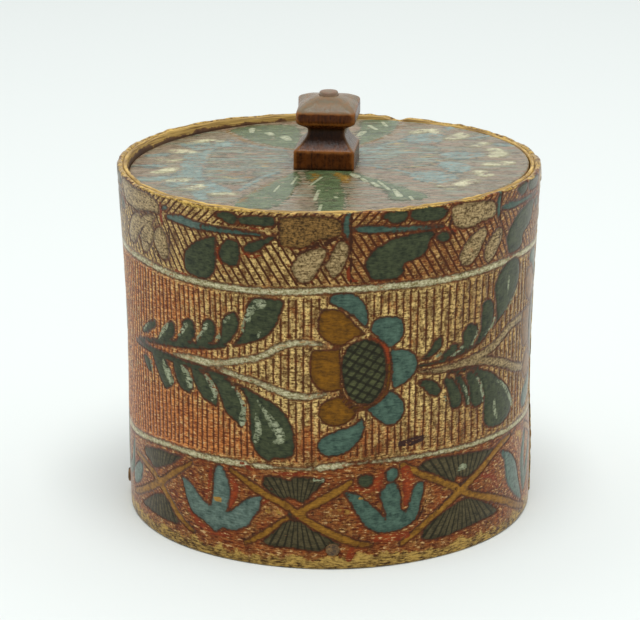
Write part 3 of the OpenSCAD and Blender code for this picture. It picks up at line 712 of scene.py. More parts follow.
# The two cream border lines round the wall, as places and heights, and the half widths of the lower one,
# which is rubbed away in places
UPPER_BORDER = [
    (-120, 117.8), (-90, 117.5), (-75, 116.8), (-60, 116.2), (-45, 116.2), (-30, 115.9), (-20, 116.3),
    (-10, 116.8), (0, 117.6), (25, 118.3), (50, 118.3), (75, 119), (95, 118.6), (150, 117), (413, 117.8),
]
LOWER_BORDER = [
    (-120, 38.2), (-105, 38.6), (-95, 39.8), (-85, 41), (-75, 42.2), (-65, 42.5), (-45, 42.5), (-25, 42.7),
    (-8, 43), (0, 44.2), (10, 45.5), (25, 45.7), (40, 45.5), (90, 45), (150, 44), (413, 38.2),
]
LOWER_HALF_W = [
    (-120, 1.7), (-95, 1.4), (-63, 1.2), (-60, 1.5), (-34, 1.4), (-32, 0.1), (-30, 1.3), (-25, 1.3),
    (-22.5, 0.5), (-5, 0.5), (-4, 1.5), (6, 1.4), (9, 0.4), (20, 0.7), (40, 1.0), (110, 1.3), (413, 1.7),
]
UPPER_HALF_W = 1.45
round_wall = (s + 120) % GIRTH - 120
upper_line = np.interp(round_wall, *np.transpose(UPPER_BORDER))
lower_line = np.interp(round_wall, *np.transpose(LOWER_BORDER))
borders = np.abs(z - lower_line) - np.interp(round_wall, *np.transpose(LOWER_HALF_W))
borders = np.minimum(borders, np.abs(z - upper_line) - UPPER_HALF_W)
paint = wall["paint"]
paint["cream"] = np.minimum(paint["cream"], borders)


def what_shows(paint, from_the_top, **set_back):
    """What shows of paints that lie over one another: the distance to the edge of them all, negative
    inside, and the distance to the nearest edge of a paint that those above it leave open. The edge of
    a paint that is set back counts as further off."""
    covered = outline = np.full(paint[from_the_top[0]].shape, FAR)
    for name in from_the_top:
        edge_gap = np.abs(paint[name]) + set_back.get(name, 0)
        outline = np.where(covered > 0, np.minimum(outline, edge_gap), outline)
        covered = np.minimum(covered, paint[name])
    return covered, outline


def from_nearest(places):
    """How far each point lies from the nearest of some places round the wall, to its right or left."""
    gaps = (s[..., None] - places + GIRTH / 2) % GIRTH - GIRTH / 2
    nearest = np.abs(gaps).argmin(axis=-1)[..., None]
    return np.take_along_axis(gaps, nearest, axis=-1)[..., 0]


# The edge of what shows of each paint is an incised outline, thin beside the cream
TOP_DOWN = ("seed", "blue", "steel", "green", "rosette", "ochre", "lattice", "brown", "pale", "cream")
covered, outline = what_shows(paint, TOP_DOWN, cream=0.25)
# The scored lines: 1 at the bottom of each, 0 on the crests between them, and none under paint or in
# the friezes
in_field = fade(upper_line - z, 2.0, 3.2) * fade(z - lower_line, 2.0, 3.2)
groove = np.pad(np.tile([0.45, 1.0, 0.45, 0.0], SCORES), (1, 1))
groove = groove * in_field * fade(covered, 0.2, 0.8)
# Slanting lines, 3.3 or 3.4 mm apart round the wall, fill the ground of the scroll frieze, one way above
# its stems and the other way below them
STEM_Z = 141.3
hatch = np.where(z > STEM_Z, (round_wall - 0.95 * z) / 3.4, (round_wall + 0.6 * z) / 3.3)
in_frieze = fade(z - upper_line, 1.8, 2.4)
# A fan of strokes fills each rosette, from a point past the crossing, and two ways of lines each seed head
CROSSING_Z, UPPER_FAN_Z, LOWER_FAN_Z, FAN_STROKES = 26, 20, 31, 8
LATTICE_TOP = 48
fan_height = np.where(z > CROSSING_Z, z - UPPER_FAN_Z, LOWER_FAN_Z - z)
fan = np.arctan2(from_nearest(CROSSINGS), fan_height) * FAN_STROKES
by_flower = from_nearest(FLOWERS)
fan = np.where(z > LATTICE_TOP, (0.5 * by_flower + z) / 3.6, fan)
cross = (by_flower - 0.75 * z) / 3.8
# How red the ground is: russet on the left and low down, orange-red in the lattice frieze, gold elsewhere
LATTICE_RED = 0.64
low_red = 0.12 + 0.3 / (1 + np.exp((round_wall - 14) / 8))
redness = 0.2 + 0.4 / (1 + np.exp((round_wall + 50) / 7)) + low_red * bell(z, 52, 10)
redness = np.where(round_wall > 120, 0.45 + 0.2 * ripple(turn, 21, 5), redness)
browned = fade(round_wall, -5, 10) * fade(round_wall, 150, 120)
frieze_red = 0.3 - 0.25 * fade(round_wall, -70, -76) + 0.2 * browned
redness = np.where(z > upper_line, frieze_red, redness)
redness = np.where(z < lower_line - 1, LATTICE_RED, redness)
# How dark the ground is: darkest in the lattice frieze and just above its middle, and brown on the right
shade = 0.5 * fade(round_wall, 40, 60) * fade(round_wall, 150, 120)
shade = shade + 0.85 * bell(z, 50, 8) * bell(round_wall, 8, 34)
shade = np.where(z > upper_line, 0.15 + 0.6 * browned, shade)
shade = np.where(z < lower_line - 1, 0.9 + 0.12 * ripple(turn, 24, 9), shade)
# The bark is bare along the foot, and rubbed along the rim, most on the left of the front
FOOT_BARE_H = 7.8
foot_band = fade(FOOT_BARE_H + 0.8 * ripple(turn, 22, 12, 4) - z, 0, 7.0)
rim_rub = -0.1 + 1.7 * bell(round_wall, -52, 17) + 0.5 * ripple(turn, 23, 24, 6)
rim_rub = fade(z + rim_rub, WALL_H - LIP_H, WALL_H)
lip_inside = np.where(level > WALL_H / 2, fade(-offset, 0.9, 1.7), fade(-offset, 0.6, 1.1))
cut_edge = np.maximum(lip_inside, rim_rub)
# The lapped end is bare along its cut edge, and dark dirt lies beside it on the layer below
LAP_DIRT_W = 1.1
cut_edge = np.maximum(cut_edge, fade(across, 1.5, 0.5))
paint["line"] = np.minimum(paint["line"], GIRTH - LAP_DIRT_W - across)

# Three pegs show at the foot, each in a dip with a dark ring, and a fourth lies under the paint
PEG_D = 6.0
PEG_Z = (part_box("bottom_board")[0].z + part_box("bottom_board")[1].z) / 2 / MM
BARE_PEGS, HIDDEN_PEG = (-84, 7, 195), 21
by_peg = from_nearest((np.radians(BARE_PEGS) - PAINT_TURN) * PAINT_R)
peg_gap = np.minimum(np.hypot(by_peg, z - PEG_Z) - PEG_D / 2, FAR)
paint["line"] = np.minimum(paint["line"], np.abs(peg_gap - 0.2) - 0.3)
by_hidden = from_nearest((np.radians([HIDDEN_PEG]) - PAINT_TURN) * PAINT_R)
hidden_peg = bell(by_hidden, 0, PEG_D / 2) * bell(z, PEG_Z, PEG_D / 2)
dips = 0.4 * hidden_peg - 0.5 * fade(peg_gap, 0.8, 0)

# The wall bulges at the right foot, and is a little uneven all over below the rim
outer = fade(offset, -1.2, 0)
bulge = 1.1 * swell(turn - PAINT_TURN, 94, 0.28) * fade(z, 48, 26)
uneven = 0.28 * (ripple(turn, 31, 6, 2) * np.sin(z / 31 + 0.6) + ripple(turn, 32, 9, 3) * np.sin(z / 17))
below_rim = 1 - at_rim(level)
lap = LAP_T * fade(across, LAP * PAINT_R, 0) * below_rim
hatch_wave = np.abs((hatch + 0.5) % 1 - 0.5)
hatch_cut = HATCH_DEPTH * fade(hatch_wave, 0.2, 0) * in_frieze * fade(covered, 0, 0.6)
outline_cut = OUTLINE_DEPTH * fade(outline, 0.9, 0)
score_cut = SCORE_DEPTH * fade(groove, 0.15, 1.15)
relief = PAINT_T * fade(covered, 0, -1) - score_cut - outline_cut - hatch_cut
radius = wall_radius(level) + offset + outer * (lap + bulge + relief + dips + uneven * below_rim)
height = level - at_rim(level) * rim_drop(turn, 8)
fields = {
    **paint, "halo": covered, "groove": groove, "hatch": hatch, "in_frieze": in_frieze, "fan": fan,
    "cross": cross, "redness": redness, "shade": shade, "foot_band": foot_band, "cut_edge": cut_edge,
}
outer_jacket = surface("outer_jacket_sheet", round_axis(radius, turn, height), "container", fields, True)
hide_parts("outer_jacket")

# Birch bark, scored, painted in distemper colours and varnished: golden crests
# between dark scored lines, broken by short flecks that lie round the wall, with
# russet paint left in the hollows and worn, ragged paints under a glossy coat.
# The flecks are about 2.5 mm long and 0.6 mm high, the chips 2 by 1.2 mm, the
# stains 2.6 mm wide and 8 mm high, the worn patches 6 mm and the specks 1 mm.
painted_bark, tree = new_material("painted_birch_bark")
place = node(tree, "TexCoord", out="Object")
millimetres = node(tree, "Mapping", {"Vector": place, "Scale": (1000, 1000, 1000)})
lying = node(tree, "Mapping", {"Vector": place, "Scale": (400, 400, 1600)})
flecks = node(tree, "TexNoise", {"Vector": lying, "Scale": 1.0, "Detail": 3.0, "Roughness": 0.6})
chipped = node(tree, "Mapping", {"Vector": place, "Scale": (480, 480, 850)})
chips = node(tree, "TexNoise", {"Vector": chipped, "Scale": 1.0, "Detail": 3.0, "Roughness": 0.6})
upright = node(tree, "Mapping", {"Vector": place, "Scale": (380, 380, 130)})
stains = node(tree, "TexNoise", {"Vector": upright, "Scale": 1.0, "Detail": 4.0, "Roughness": 0.6})
wear = node(tree, "TexNoise", {"Vector": millimetres, "Scale": 0.16, "Detail": 8.0, "Roughness": 0.7})
mottle = node(tree, "TexNoise", {"Vector": millimetres, "Scale": 0.4, "Detail": 3.0, "Roughness": 0.6})
wander = node(tree, "TexNoise", {"Vector": millimetres, "Scale": 0.6, "Detail": 2.0}, normalize=False)
specks = node(tree, "TexNoise", {"Vector": millimetres, "Scale": 1.1, "Detail": 3.0, "Roughness": 0.65})
rough = node(tree, "Math", {0: chips, 1: flecks}, operation="ADD")
speckle = node(tree, "Math", {0: specks, 1: flecks}, operation="ADD")
grain = node(tree, "MapRange", {0: speckle, 1: 0.82, 2: 1.18})
rubbed = node(tree, "Math", {0: flecks, 1: wear}, operation="ADD")
stain = node(tree, "MapRange", {0: stains, 1: 0.44, 2: 0.64, 3: 0.0, 4: 0.8})
gold = node(tree, "Mix", {0: grain, A: linear("#5a3a12"), B: linear("#f2d084")}, **COLOURS)
gold = node(tree, "Mix", {0: stain, A: gold, B: linear("#54300e")}, **COLOURS)
# Russet over the gold, more of it where redness is high and in the hollows
redness_share = node(tree, "Attribute", out="Fac", attribute_name="redness")
groove_share = node(tree, "Attribute", out="Fac", attribute_name="groove")
russet_reach = node(tree, "Math", {0: wear, 1: 1.3, 2: redness_share}, operation="MULTIPLY_ADD")
russet_reach = node(tree, "Math", {0: rough, 1: -0.5, 2: russet_reach}, operation="MULTIPLY_ADD")
russet_reach = node(tree, "Math", {0: groove_share, 1: 0.5, 2: russet_reach}, operation="MULTIPLY_ADD")
russet_cover = node(tree, "MapRange", {0: russet_reach, 1: 0.5, 2: 0.95, 3: 0.0, 4: 0.92})
scratch = node(tree, "MapRange", {0: flecks, 1: 0.36, 2: 0.68})
russet = node(tree, "Mix", {0: scratch, A: linear("#722e0c"), B: linear("#e69048")}, **COLOURS)
colour = node(tree, "Mix", {0: russet_cover, A: gold, B: russet}, **COLOURS)
shade_share = node(tree, "Attribute", out="Fac", attribute_name="shade")
deep = {0: shade_share, A: colour, B: linear("#b4967c")}
colour = node(tree, "Mix", deep, blend_type="MULTIPLY", **COLOURS)
# Straw-coloured flecks where the red paint is rubbed through
straw = node(tree, "MapRange", {0: rough, 1: 1.12, 2: 1.24, 3: 0.0, 4: 1.3})
straw = node(tree, "Math", {0: straw, 1: redness_share}, operation="MULTIPLY")
colour = node(tree, "Mix", {0: straw, A: colour, B: linear("#d4b078")}, **COLOURS)
# The rubbed foot is bare and yellow, with dark flecks
bare = node(tree, "Attribute", out="Fac", attribute_name="foot_band")
foot_wear = node(tree, "Math", {0: wear, 1: 2.2, 2: bare}, operation="MULTIPLY_ADD")
bare_foot = node(tree, "MapRange", {0: foot_wear, 1: 1.45, 2: 1.65})
foot_grain = node(tree, "MapRange", {0: rubbed, 1: 0.87, 2: 1.16})
foot_tone = node(tree, "Mix", {0: foot_grain, A: linear("#40260c"), B: linear("#bc994e")}, **COLOURS)
colour = node(tree, "Mix", {0: bare_foot, A: colour, B: foot_tone}, **COLOURS)
# Incised lines hold dark paint: the scored lines of the field and the slanting lines of the frieze.
# The strokes of the rosettes and seed heads are drawn the same way, for later.
score_ragged = node(tree, "Math", {0: wander, 1: 0.3, 2: groove_share}, operation="MULTIPLY_ADD")
in_score = node(tree, "MapRange", {0: score_ragged, 1: 0.35, 2: 0.7, 3: 0.0, 4: 0.92})
lines = {}
for name in ("hatch", "fan", "cross"):
    phase = node(tree, "Attribute", out="Fac", attribute_name=name)
    swayed = node(tree, "Math", {0: wander, 1: 0.07, 2: phase}, operation="MULTIPLY_ADD")
    wave = node(tree, "Math", {0: swayed, 1: 0.5}, operation="PINGPONG")
    lines[name] = node(tree, "MapRange", {0: wave, 1: 0.21, 2: 0.12})
frieze = node(tree, "Attribute", out="Fac", attribute_name="in_frieze")
in_hatch = node(tree, "Math", {0: lines["hatch"], 1: frieze}, operation="MULTIPLY")
in_line = node(tree, "Math", {0: in_score, 1: in_hatch}, operation="MAXIMUM")
umber = node(tree, "Mix", {0: redness_share, A: linear("#3e2008"), B: linear("#56280e")}, **COLOURS)
colour = node(tree, "Mix", {0: in_line, A: colour, B: umber}, **COLOURS)
# Warm red left along the edges of the painted shapes, bright in places
halo_gap = node(tree, "Attribute", out="Fac", attribute_name="halo")
halo_reach = node(tree, "Math", {0: mottle, 1: -3.4, 2: halo_gap}, operation="MULTIPLY_ADD")
in_halo = node(tree, "MapRange", {0: halo_reach, 1: -0.9, 2: -1.7, 3: 0.0, 4: 0.6})
halo_tone = node(tree, "Mix", {0: wear, A: linear("#3e1c0a"), B: linear("#8e3e16")}, **COLOURS)
colour = node(tree, "Mix", {0: in_halo, A: colour, B: halo_tone}, **COLOURS)


def paint_coat(tree, under, name, thin, thick, tint, wander, left, incised=0.0):
    """A coat of paint over a colour: it lies inside the paint's field, with an edge roughened by wander,
    where it is left. It goes from a thin to a thick colour by its tint, and is darker along its edge.
    Where it was incised first, a dark brown line runs along the edge."""
    gap = node(tree, "Attribute", out="Fac", attribute_name=name)
    ragged = node(tree, "Math", {0: wander, 1: 0.5, 2: gap}, operation="MULTIPLY_ADD")
    laid = node(tree, "MapRange", {0: ragged, 1: 0.15, 2: -0.2})
    cover = node(tree, "Math", {0: laid, 1: left}, operation="MULTIPLY")
    pooled = node(tree, "MapRange", {0: gap, 1: -0.2, 2: -1.8, 3: 0.4, 4: 1.0})
    depth = node(tree, "Math", {0: tint, 1: pooled}, operation="MULTIPLY")
    coat = node(tree, "Mix", {0: depth, A: linear(thin), B: linear(thick)}, **COLOURS)
    coat = node(tree, "Mix", {0: cover, A: under, B: coat}, **COLOURS)
    if not incised:
        return coat
    beside = node(tree, "Math", {0: ragged}, operation="ABSOLUTE")
    line = node(tree, "MapRange", {0: beside, 1: 0.62, 2: 0.22, 3: 0.0, 4: incised})
    tone = node(tree, "Mix", {0: tint, A: linear("#2c1506"), B: linear("#5a2c12")}, **COLOURS)
    return node(tree, "Mix", {0: line, A: coat, B: tone}, **COLOURS)


# The paints one over another: field, thin and thick colour, the rubbing that they bear before they are
# gone, and how dark the incised line round them is
COATS = [
    ("brown", "#3a260a", "#96703a", 1.3, 0.7),
    ("pale", "#4e3a1a", "#bea474", 1.26, 0.8),
    ("cream", "#7c7046", "#ece6be", 1.14, 0.6),
    ("lattice", "#5e3a0a", "#ae7c28", 1.3, 0.8),
    ("ochre", "#4e3002", "#86580a", 1.4, 0.85),
    ("red", "#66240a", "#a44618", 1.1, 0.0),
    ("rosette", "#2c2816", "#5c5236", 1.3, 0.8),
    ("green", "#22281b", "#484f34", 1.42, 0.85),
    ("steel", "#384a42", "#6c8074", 1.4, 0.8),
    ("blue", "#2b3f36", "#546e5e", 1.42, 0.85),
    ("seed", "#26271a", "#565836", 1.4, 0.85),
    ("stain", "#2e1a14", "#4a2a20", 1.14, 0.0),
    ("line", "#361a08", "#522a10", 1.24, 0.0),
]
tints = node(tree, "Math", {0: flecks, 1: mottle}, operation="ADD")
tint = node(tree, "MapRange", {0: tints, 1: 0.72, 2: 1.22})
for name, thin, thick, lasting, incised in COATS:
    left = node(tree, "MapRange", {0: rubbed, 1: lasting + 0.05, 2: lasting - 0.05})
    stippled = grain if name in ("brown", "pale", "cream") else tint
    colour = paint_coat(tree, colour, name, thin, thick, stippled, wander, left, incised)
# Dark strokes over the rosettes and seed heads, then dry white strokes over the leaves
for name, masks in (("fan", ("rosette", "seed")), ("cross", ("seed",))):
    for mask in masks:
        inside = node(tree, "Attribute", out="Fac", attribute_name=mask)
        inside = node(tree, "MapRange", {0: inside, 1: 0.0, 2: -0.6, 3: 0.0, 4: 0.8})
        stroke = node(tree, "Math", {0: lines[name], 1: inside}, operation="MULTIPLY")
        colour = node(tree, "Mix", {0: stroke, A: colour, B: linear("#1c190a")}, **COLOURS)
streaks = node(tree, "MapRange", {0: rough, 1: 1.1, 2: 0.98})
colour = paint_coat(tree, colour, "white", "#606848", "#d4d8b6", tint, wander, streaks)
# Bare spots, and the bare yellow of the cut rim
spots = node(tree, "MapRange", {0: mottle, 1: 0.36, 2: 0.46})
colour = paint_coat(tree, colour, "bare", "#8a6020", "#d0aa58", tint, wander, spots)
rim = node(tree, "Attribute", out="Fac", attribute_name="cut_edge")
rim_ragged = node(tree, "Math", {0: wander, 1: 0.4, 2: rim}, operation="MULTIPLY_ADD")
rim_bare = node(tree, "MapRange", {0: rim_ragged, 1: 0.5, 2: 0.75})
rim_tone = node(tree, "Mix", {0: grain, A: linear("#56380e"), B: linear("#ccaa58")}, **COLOURS)
colour = node(tree, "Mix", {0: rim_bare, A: colour, B: rim_tone}, **COLOURS)
# Paint fills the bark's roughness, so it lies smoother under the varnish than the bare ground
gloss = node(tree, "MapRange", {0: wear, 1: 0.3, 2: 0.7, 3: 0.26, 4: 0.4})
roughness_left = node(tree, "MapRange", {0: halo_gap, 1: -0.4, 2: 0.3, 3: 0.3, 4: 1.0})
texture = node(tree, "Math", {0: rough, 1: roughness_left}, operation="MULTIPLY")
bump = node(tree, "Bump", {"Height": texture, "Strength": 0.7, "Distance": 0.0004})
dust_film = {"Sheen Weight": 0.32, "Sheen Roughness": 0.3, "Sheen Tint": linear("#fff0e2")}
varnish = {"Specular IOR Level": 0.14, **dust_film}
shader = node(tree, "BsdfPrincipled", {"Base Color": colour, "Roughness": gloss, "Normal": bump, **varnish})
node(tree, "OutputMaterial", {"Surface": shader})
outer_jacket.data.materials.append(painted_bark)

# Pegs: whittled from split birch and driven in from outside. One pins the jacket's
# lap under the rim, and five hold the bottom board; their cut ends are worn and dark.
PEG_DEPTH, PEG_PROUD = 20.0, 1.5
SEAM_PEG_D, SEAM_PEG_Z, SEAM_PEG_PROUD = 4.0, WALL_H - 10.5, 1.1
# The lid's clearance in the sleeve, which the seam peg's tip leaves free
LID_GAP = 0.4
# The pegs in the lap lie a third of its width from its cut edge, and stand out from its full thickness
LAP_CAD_W, LAP_CAD_T = 26, 1.4
LAP_PEGS = math.degrees(SEAM + LAP_CAD_W / BODY_R / 3)


def whittled(start, end, width, seed, sides=9):
    """A round stick between two points: rings round its axis, cut into slightly uneven flats as
    the nearest of several planes, and eased over a domed nose at each end."""
    draws = np.random.default_rng(seed)
    start, end = np.array(start, float), np.array(end, float)
    length = np.linalg.norm(end - start)
    axis = (end - start) / length
    side = np.cross(axis, [0.0, 0.0, 1.0] if abs(axis[2]) < 0.9 else [0.0, 1.0, 0.0])
    side = side / np.linalg.norm(side)
    other = np.cross(axis, side)
    around = np.linspace(0, 2 * np.pi, 45, endpoint=False)
    flats = np.linspace(0, 2 * np.pi, sides, endpoint=False) + draws.uniform(-0.2, 0.2, sides)
    reach = draws.uniform(0.93, 0.97, sides) / np.maximum(np.cos(around[:, None] - flats), 0.2)
    ring = np.minimum(reach.min(axis=1), 1.0) * width / 2
    nose = np.array([[0.0, 0.3], [0.03, 0.62], [0.14, 0.86], [0.4, 0.97], [0.8, 1.0]])
    middle = np.stack([np.linspace(0.8, length - 0.8, 12)[1:-1], np.ones(10)], axis=1)
    rows = np.concatenate([nose, middle, (nose * [-1, 1] + [length, 0])[::-1]])
    ring = rows[:, 1:] * ring * (1 + 0.015 * draws.normal(size=(len(rows), 1)))
    spokes = np.cos(around)[:, None] * side + np.sin(around)[:, None] * other
    ends = fade(np.minimum(rows[:, :1], length - rows[:, :1]), 0.5, 0)
    return start + rows[:, :1, None] * axis + ring[..., None] * spokes, {"cut_end": ends}


# Split birch, whittled and darkened by handling: brown fibres, with paint and dirt
# on the worn ends; what faces up under open air, the dowel's top, is greyed by dust
# and by a painted sheen like the knob's roof.
# The fibres are about 1 mm wide and the smears of dirt 3 mm.
peg_wood, tree = new_material("whittled_birch")
place = node(tree, "TexCoord", out="Object")
fibres = node(tree, "TexNoise", {"Vector": place, "Scale": 900.0, "Detail": 4.0, "Roughness": 0.6})
fibre = node(tree, "MapRange", {0: fibres, 1: 0.35, 2: 0.65})
smear = node(tree, "TexNoise", {"Vector": place, "Scale": 320.0, "Detail": 3.0})
side_tone = node(tree, "Mix", {0: fibre, A: linear("#5a3c1c"), B: linear("#94703c")}, **COLOURS)
end_tone = node(tree, "Mix", {0: fibre, A: linear("#3a2410"), B: linear("#8a6836")}, **COLOURS)
end_share = node(tree, "Attribute", out="Fac", attribute_name="cut_end")
tone = node(tree, "Mix", {0: end_share, A: side_tone, B: end_tone}, **COLOURS)
dirty = node(tree, "MapRange", {0: smear, 1: 0.5, 2: 0.66, 3: 0.0, 4: 0.8})
tone = node(tree, "Mix", {0: dirty, A: tone, B: linear("#2c1a0c")}, **COLOURS)
# Grey-green dust with a painted sheen on what faces up
dust_and_sheen_share = node(tree, "Attribute", out="Fac", attribute_name="dust_and_sheen")
dust_tone = node(tree, "Mix", {0: smear, A: linear("#8a5a4c"), B: linear("#6e7056")}, **COLOURS)
tone = node(tree, "Mix", {0: dust_and_sheen_share, A: tone, B: dust_tone}, **COLOURS)
bump = node(tree, "Bump", {"Height": fibres, "Strength": 0.5, "Distance": 0.0003})
shader = node(tree, "BsdfPrincipled", {"Base Color": tone, "Roughness": 0.5, "Normal": bump})
node(tree, "OutputMaterial", {"Surface": shader})

# Each peg: its node, angle round the wall in degrees, height, width, and radii of its two ends
foot_r = wall_radius(PEG_Z)
peg_tip = foot_r + sleeve_inside - PEG_DEPTH
neck_r = wall_radius(SEAM_PEG_Z)
seam_tip = neck_r + sleeve_inside + LID_GAP
PEGS = [("seam_peg", LAP_PEGS, SEAM_PEG_Z, SEAM_PEG_D, seam_tip, neck_r + LAP_CAD_T + SEAM_PEG_PROUD)]
# The bottom pegs, left, front, under the paint, in the lap and at the back: how proud each stands
PROUD = {BARE_PEGS[0]: 1, BARE_PEGS[1]: 0.1, HIDDEN_PEG: 0.1, LAP_PEGS: 0.8, BARE_PEGS[2]: 0.5}
for i, (degrees, share) in enumerate(PROUD.items()):
    face_r = foot_r + (LAP_CAD_T if degrees == LAP_PEGS else 0)
    PEGS.append((f"bottom_peg_{i + 1}", degrees, PEG_Z, PEG_D, peg_tip, face_r + share * PEG_PROUD))
for i, (name, degrees, z_peg, width, r0, r1) in enumerate(PEGS):
    angle = math.radians(degrees)
    out = np.array([math.sin(angle), -math.cos(angle), 0])
    points, ends = whittled(r0 * out + [0, 0, z_peg], r1 * out + [0, 0, z_peg], width, 40 + i)
    peg = surface(name + "_stick", points, "container", ends)
    peg.data.materials.append(peg_wood)
    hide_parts(name)

# Bottom board: a disc of pine sawn from one plank and left bare. It is a turned solid
# held by the pegs, so its own solid is shown, gone brown: growth rings 4 mm apart along
# X, dark pores 20 mm long and 0.7 mm wide, and soiled patches about 20 mm across.
bare_board, tree = new_material("sawn_pine")
place = node(tree, "TexCoord", out="Object")
planks = node(tree, "Mapping", {"Vector": place, "Scale": (12, 260, 260)})
wavy = {"Vector": planks, "Scale": 1.0, "Detail": 4.0, "Roughness": 0.6, "Distortion": 0.4}
rings = node(tree, "TexNoise", wavy)
ring = node(tree, "MapRange", {0: rings, 1: 0.36, 2: 0.64})
hairs = node(tree, "Mapping", {"Vector": place, "Scale": (50, 1500, 1500)})
pores = node(tree, "TexNoise", {"Vector": hairs, "Scale": 1.0, "Detail": 2.0})
soil = node(tree, "TexNoise", {"Vector": place, "Scale": 45.0, "Detail": 5.0, "Roughness": 0.6})
tone = node(tree, "Mix", {0: ring, A: linear("#7e5a30"), B: linear("#b8935a")}, **COLOURS)
pore = node(tree, "MapRange", {0: pores, 1: 0.58, 2: 0.7, 3: 0.0, 4: 0.6})
tone = node(tree, "Mix", {0: pore, A: tone, B: linear("#543818")}, **COLOURS)
soiled = node(tree, "MapRange", {0: soil, 1: 0.48, 2: 0.66, 3: 0.0, 4: 0.65})
tone = node(tree, "Mix", {0: soiled, A: tone, B: linear("#4a3018")}, **COLOURS)
relief = node(tree, "Math", {0: rings, 1: pores}, operation="SUBTRACT")
bump = node(tree, "Bump", {"Height": relief, "Strength": 0.4, "Distance": 0.0004})
shader = node(tree, "BsdfPrincipled", {"Base Color": tone, "Roughness": 0.62, "Normal": bump})
node(tree, "OutputMaterial", {"Surface": shader})
bottom_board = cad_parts["bottom_board"]
bottom_board.data.materials.clear()
bottom_board.data.materials.append(bare_board)

# Lid: a plug sawn from one pine board that drops into the rim. Only its top is
# painted, with two round flowers, leaves between them and a sprig in front. The
# board has warped, so its left side lies lower than its right.
LID_FOOT, LID_TOP = (corner.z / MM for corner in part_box("lid_board"))
LID_IN = LID_GAP - sleeve_inside
LID_BEVEL = 0.8
LID_COLUMNS = 620
LID_SLANT = 0.022
COAT_T = 0.1
# The hole for the dowel, and what the knob's foot keeps flat round it
HOLE_R, FLAT_R = 4.05, 14

quarter = np.linspace(0, np.pi / 2, 5)
shoulder_r = wall_radius(LID_TOP) - LID_IN - LID_BEVEL
heel_r = wall_radius(LID_FOOT) - LID_IN - LID_BEVEL
edge_up = np.linspace(LID_FOOT + LID_BEVEL, LID_TOP - LID_BEVEL, 9)[1:-1]
across_top = np.linspace(shoulder_r, HOLE_R, 88)[1:]
down_hole = np.linspace(LID_TOP, LID_FOOT, 6)[1:]
across_foot = np.linspace(HOLE_R, heel_r, 14)[1:-1]
reach = np.concatenate([
    wall_radius(edge_up) - LID_IN,
    shoulder_r + LID_BEVEL * np.cos(quarter),
    across_top,
    np.full(len(down_hole), HOLE_R),
    across_foot,
    heel_r + LID_BEVEL * np.sin(quarter),
])[:, None]
level = np.concatenate([
    edge_up,
    LID_TOP - LID_BEVEL + LID_BEVEL * np.sin(quarter),
    np.full(len(across_top), LID_TOP),
    down_hole,
    np.full(len(across_foot), LID_FOOT),
    LID_FOOT + LID_BEVEL - LID_BEVEL * np.cos(quarter),
])[:, None]
turn = np.linspace(0, 2 * np.pi, LID_COLUMNS, endpoint=False)[None, :]
right = reach * np.sin(turn - PAINT_TURN)
away = -reach * np.cos(turn - PAINT_TURN)
warp = LID_SLANT * right * fade(reach, FLAT_R, FLAT_R + 12) * fade(level, LID_FOOT, LID_TOP)
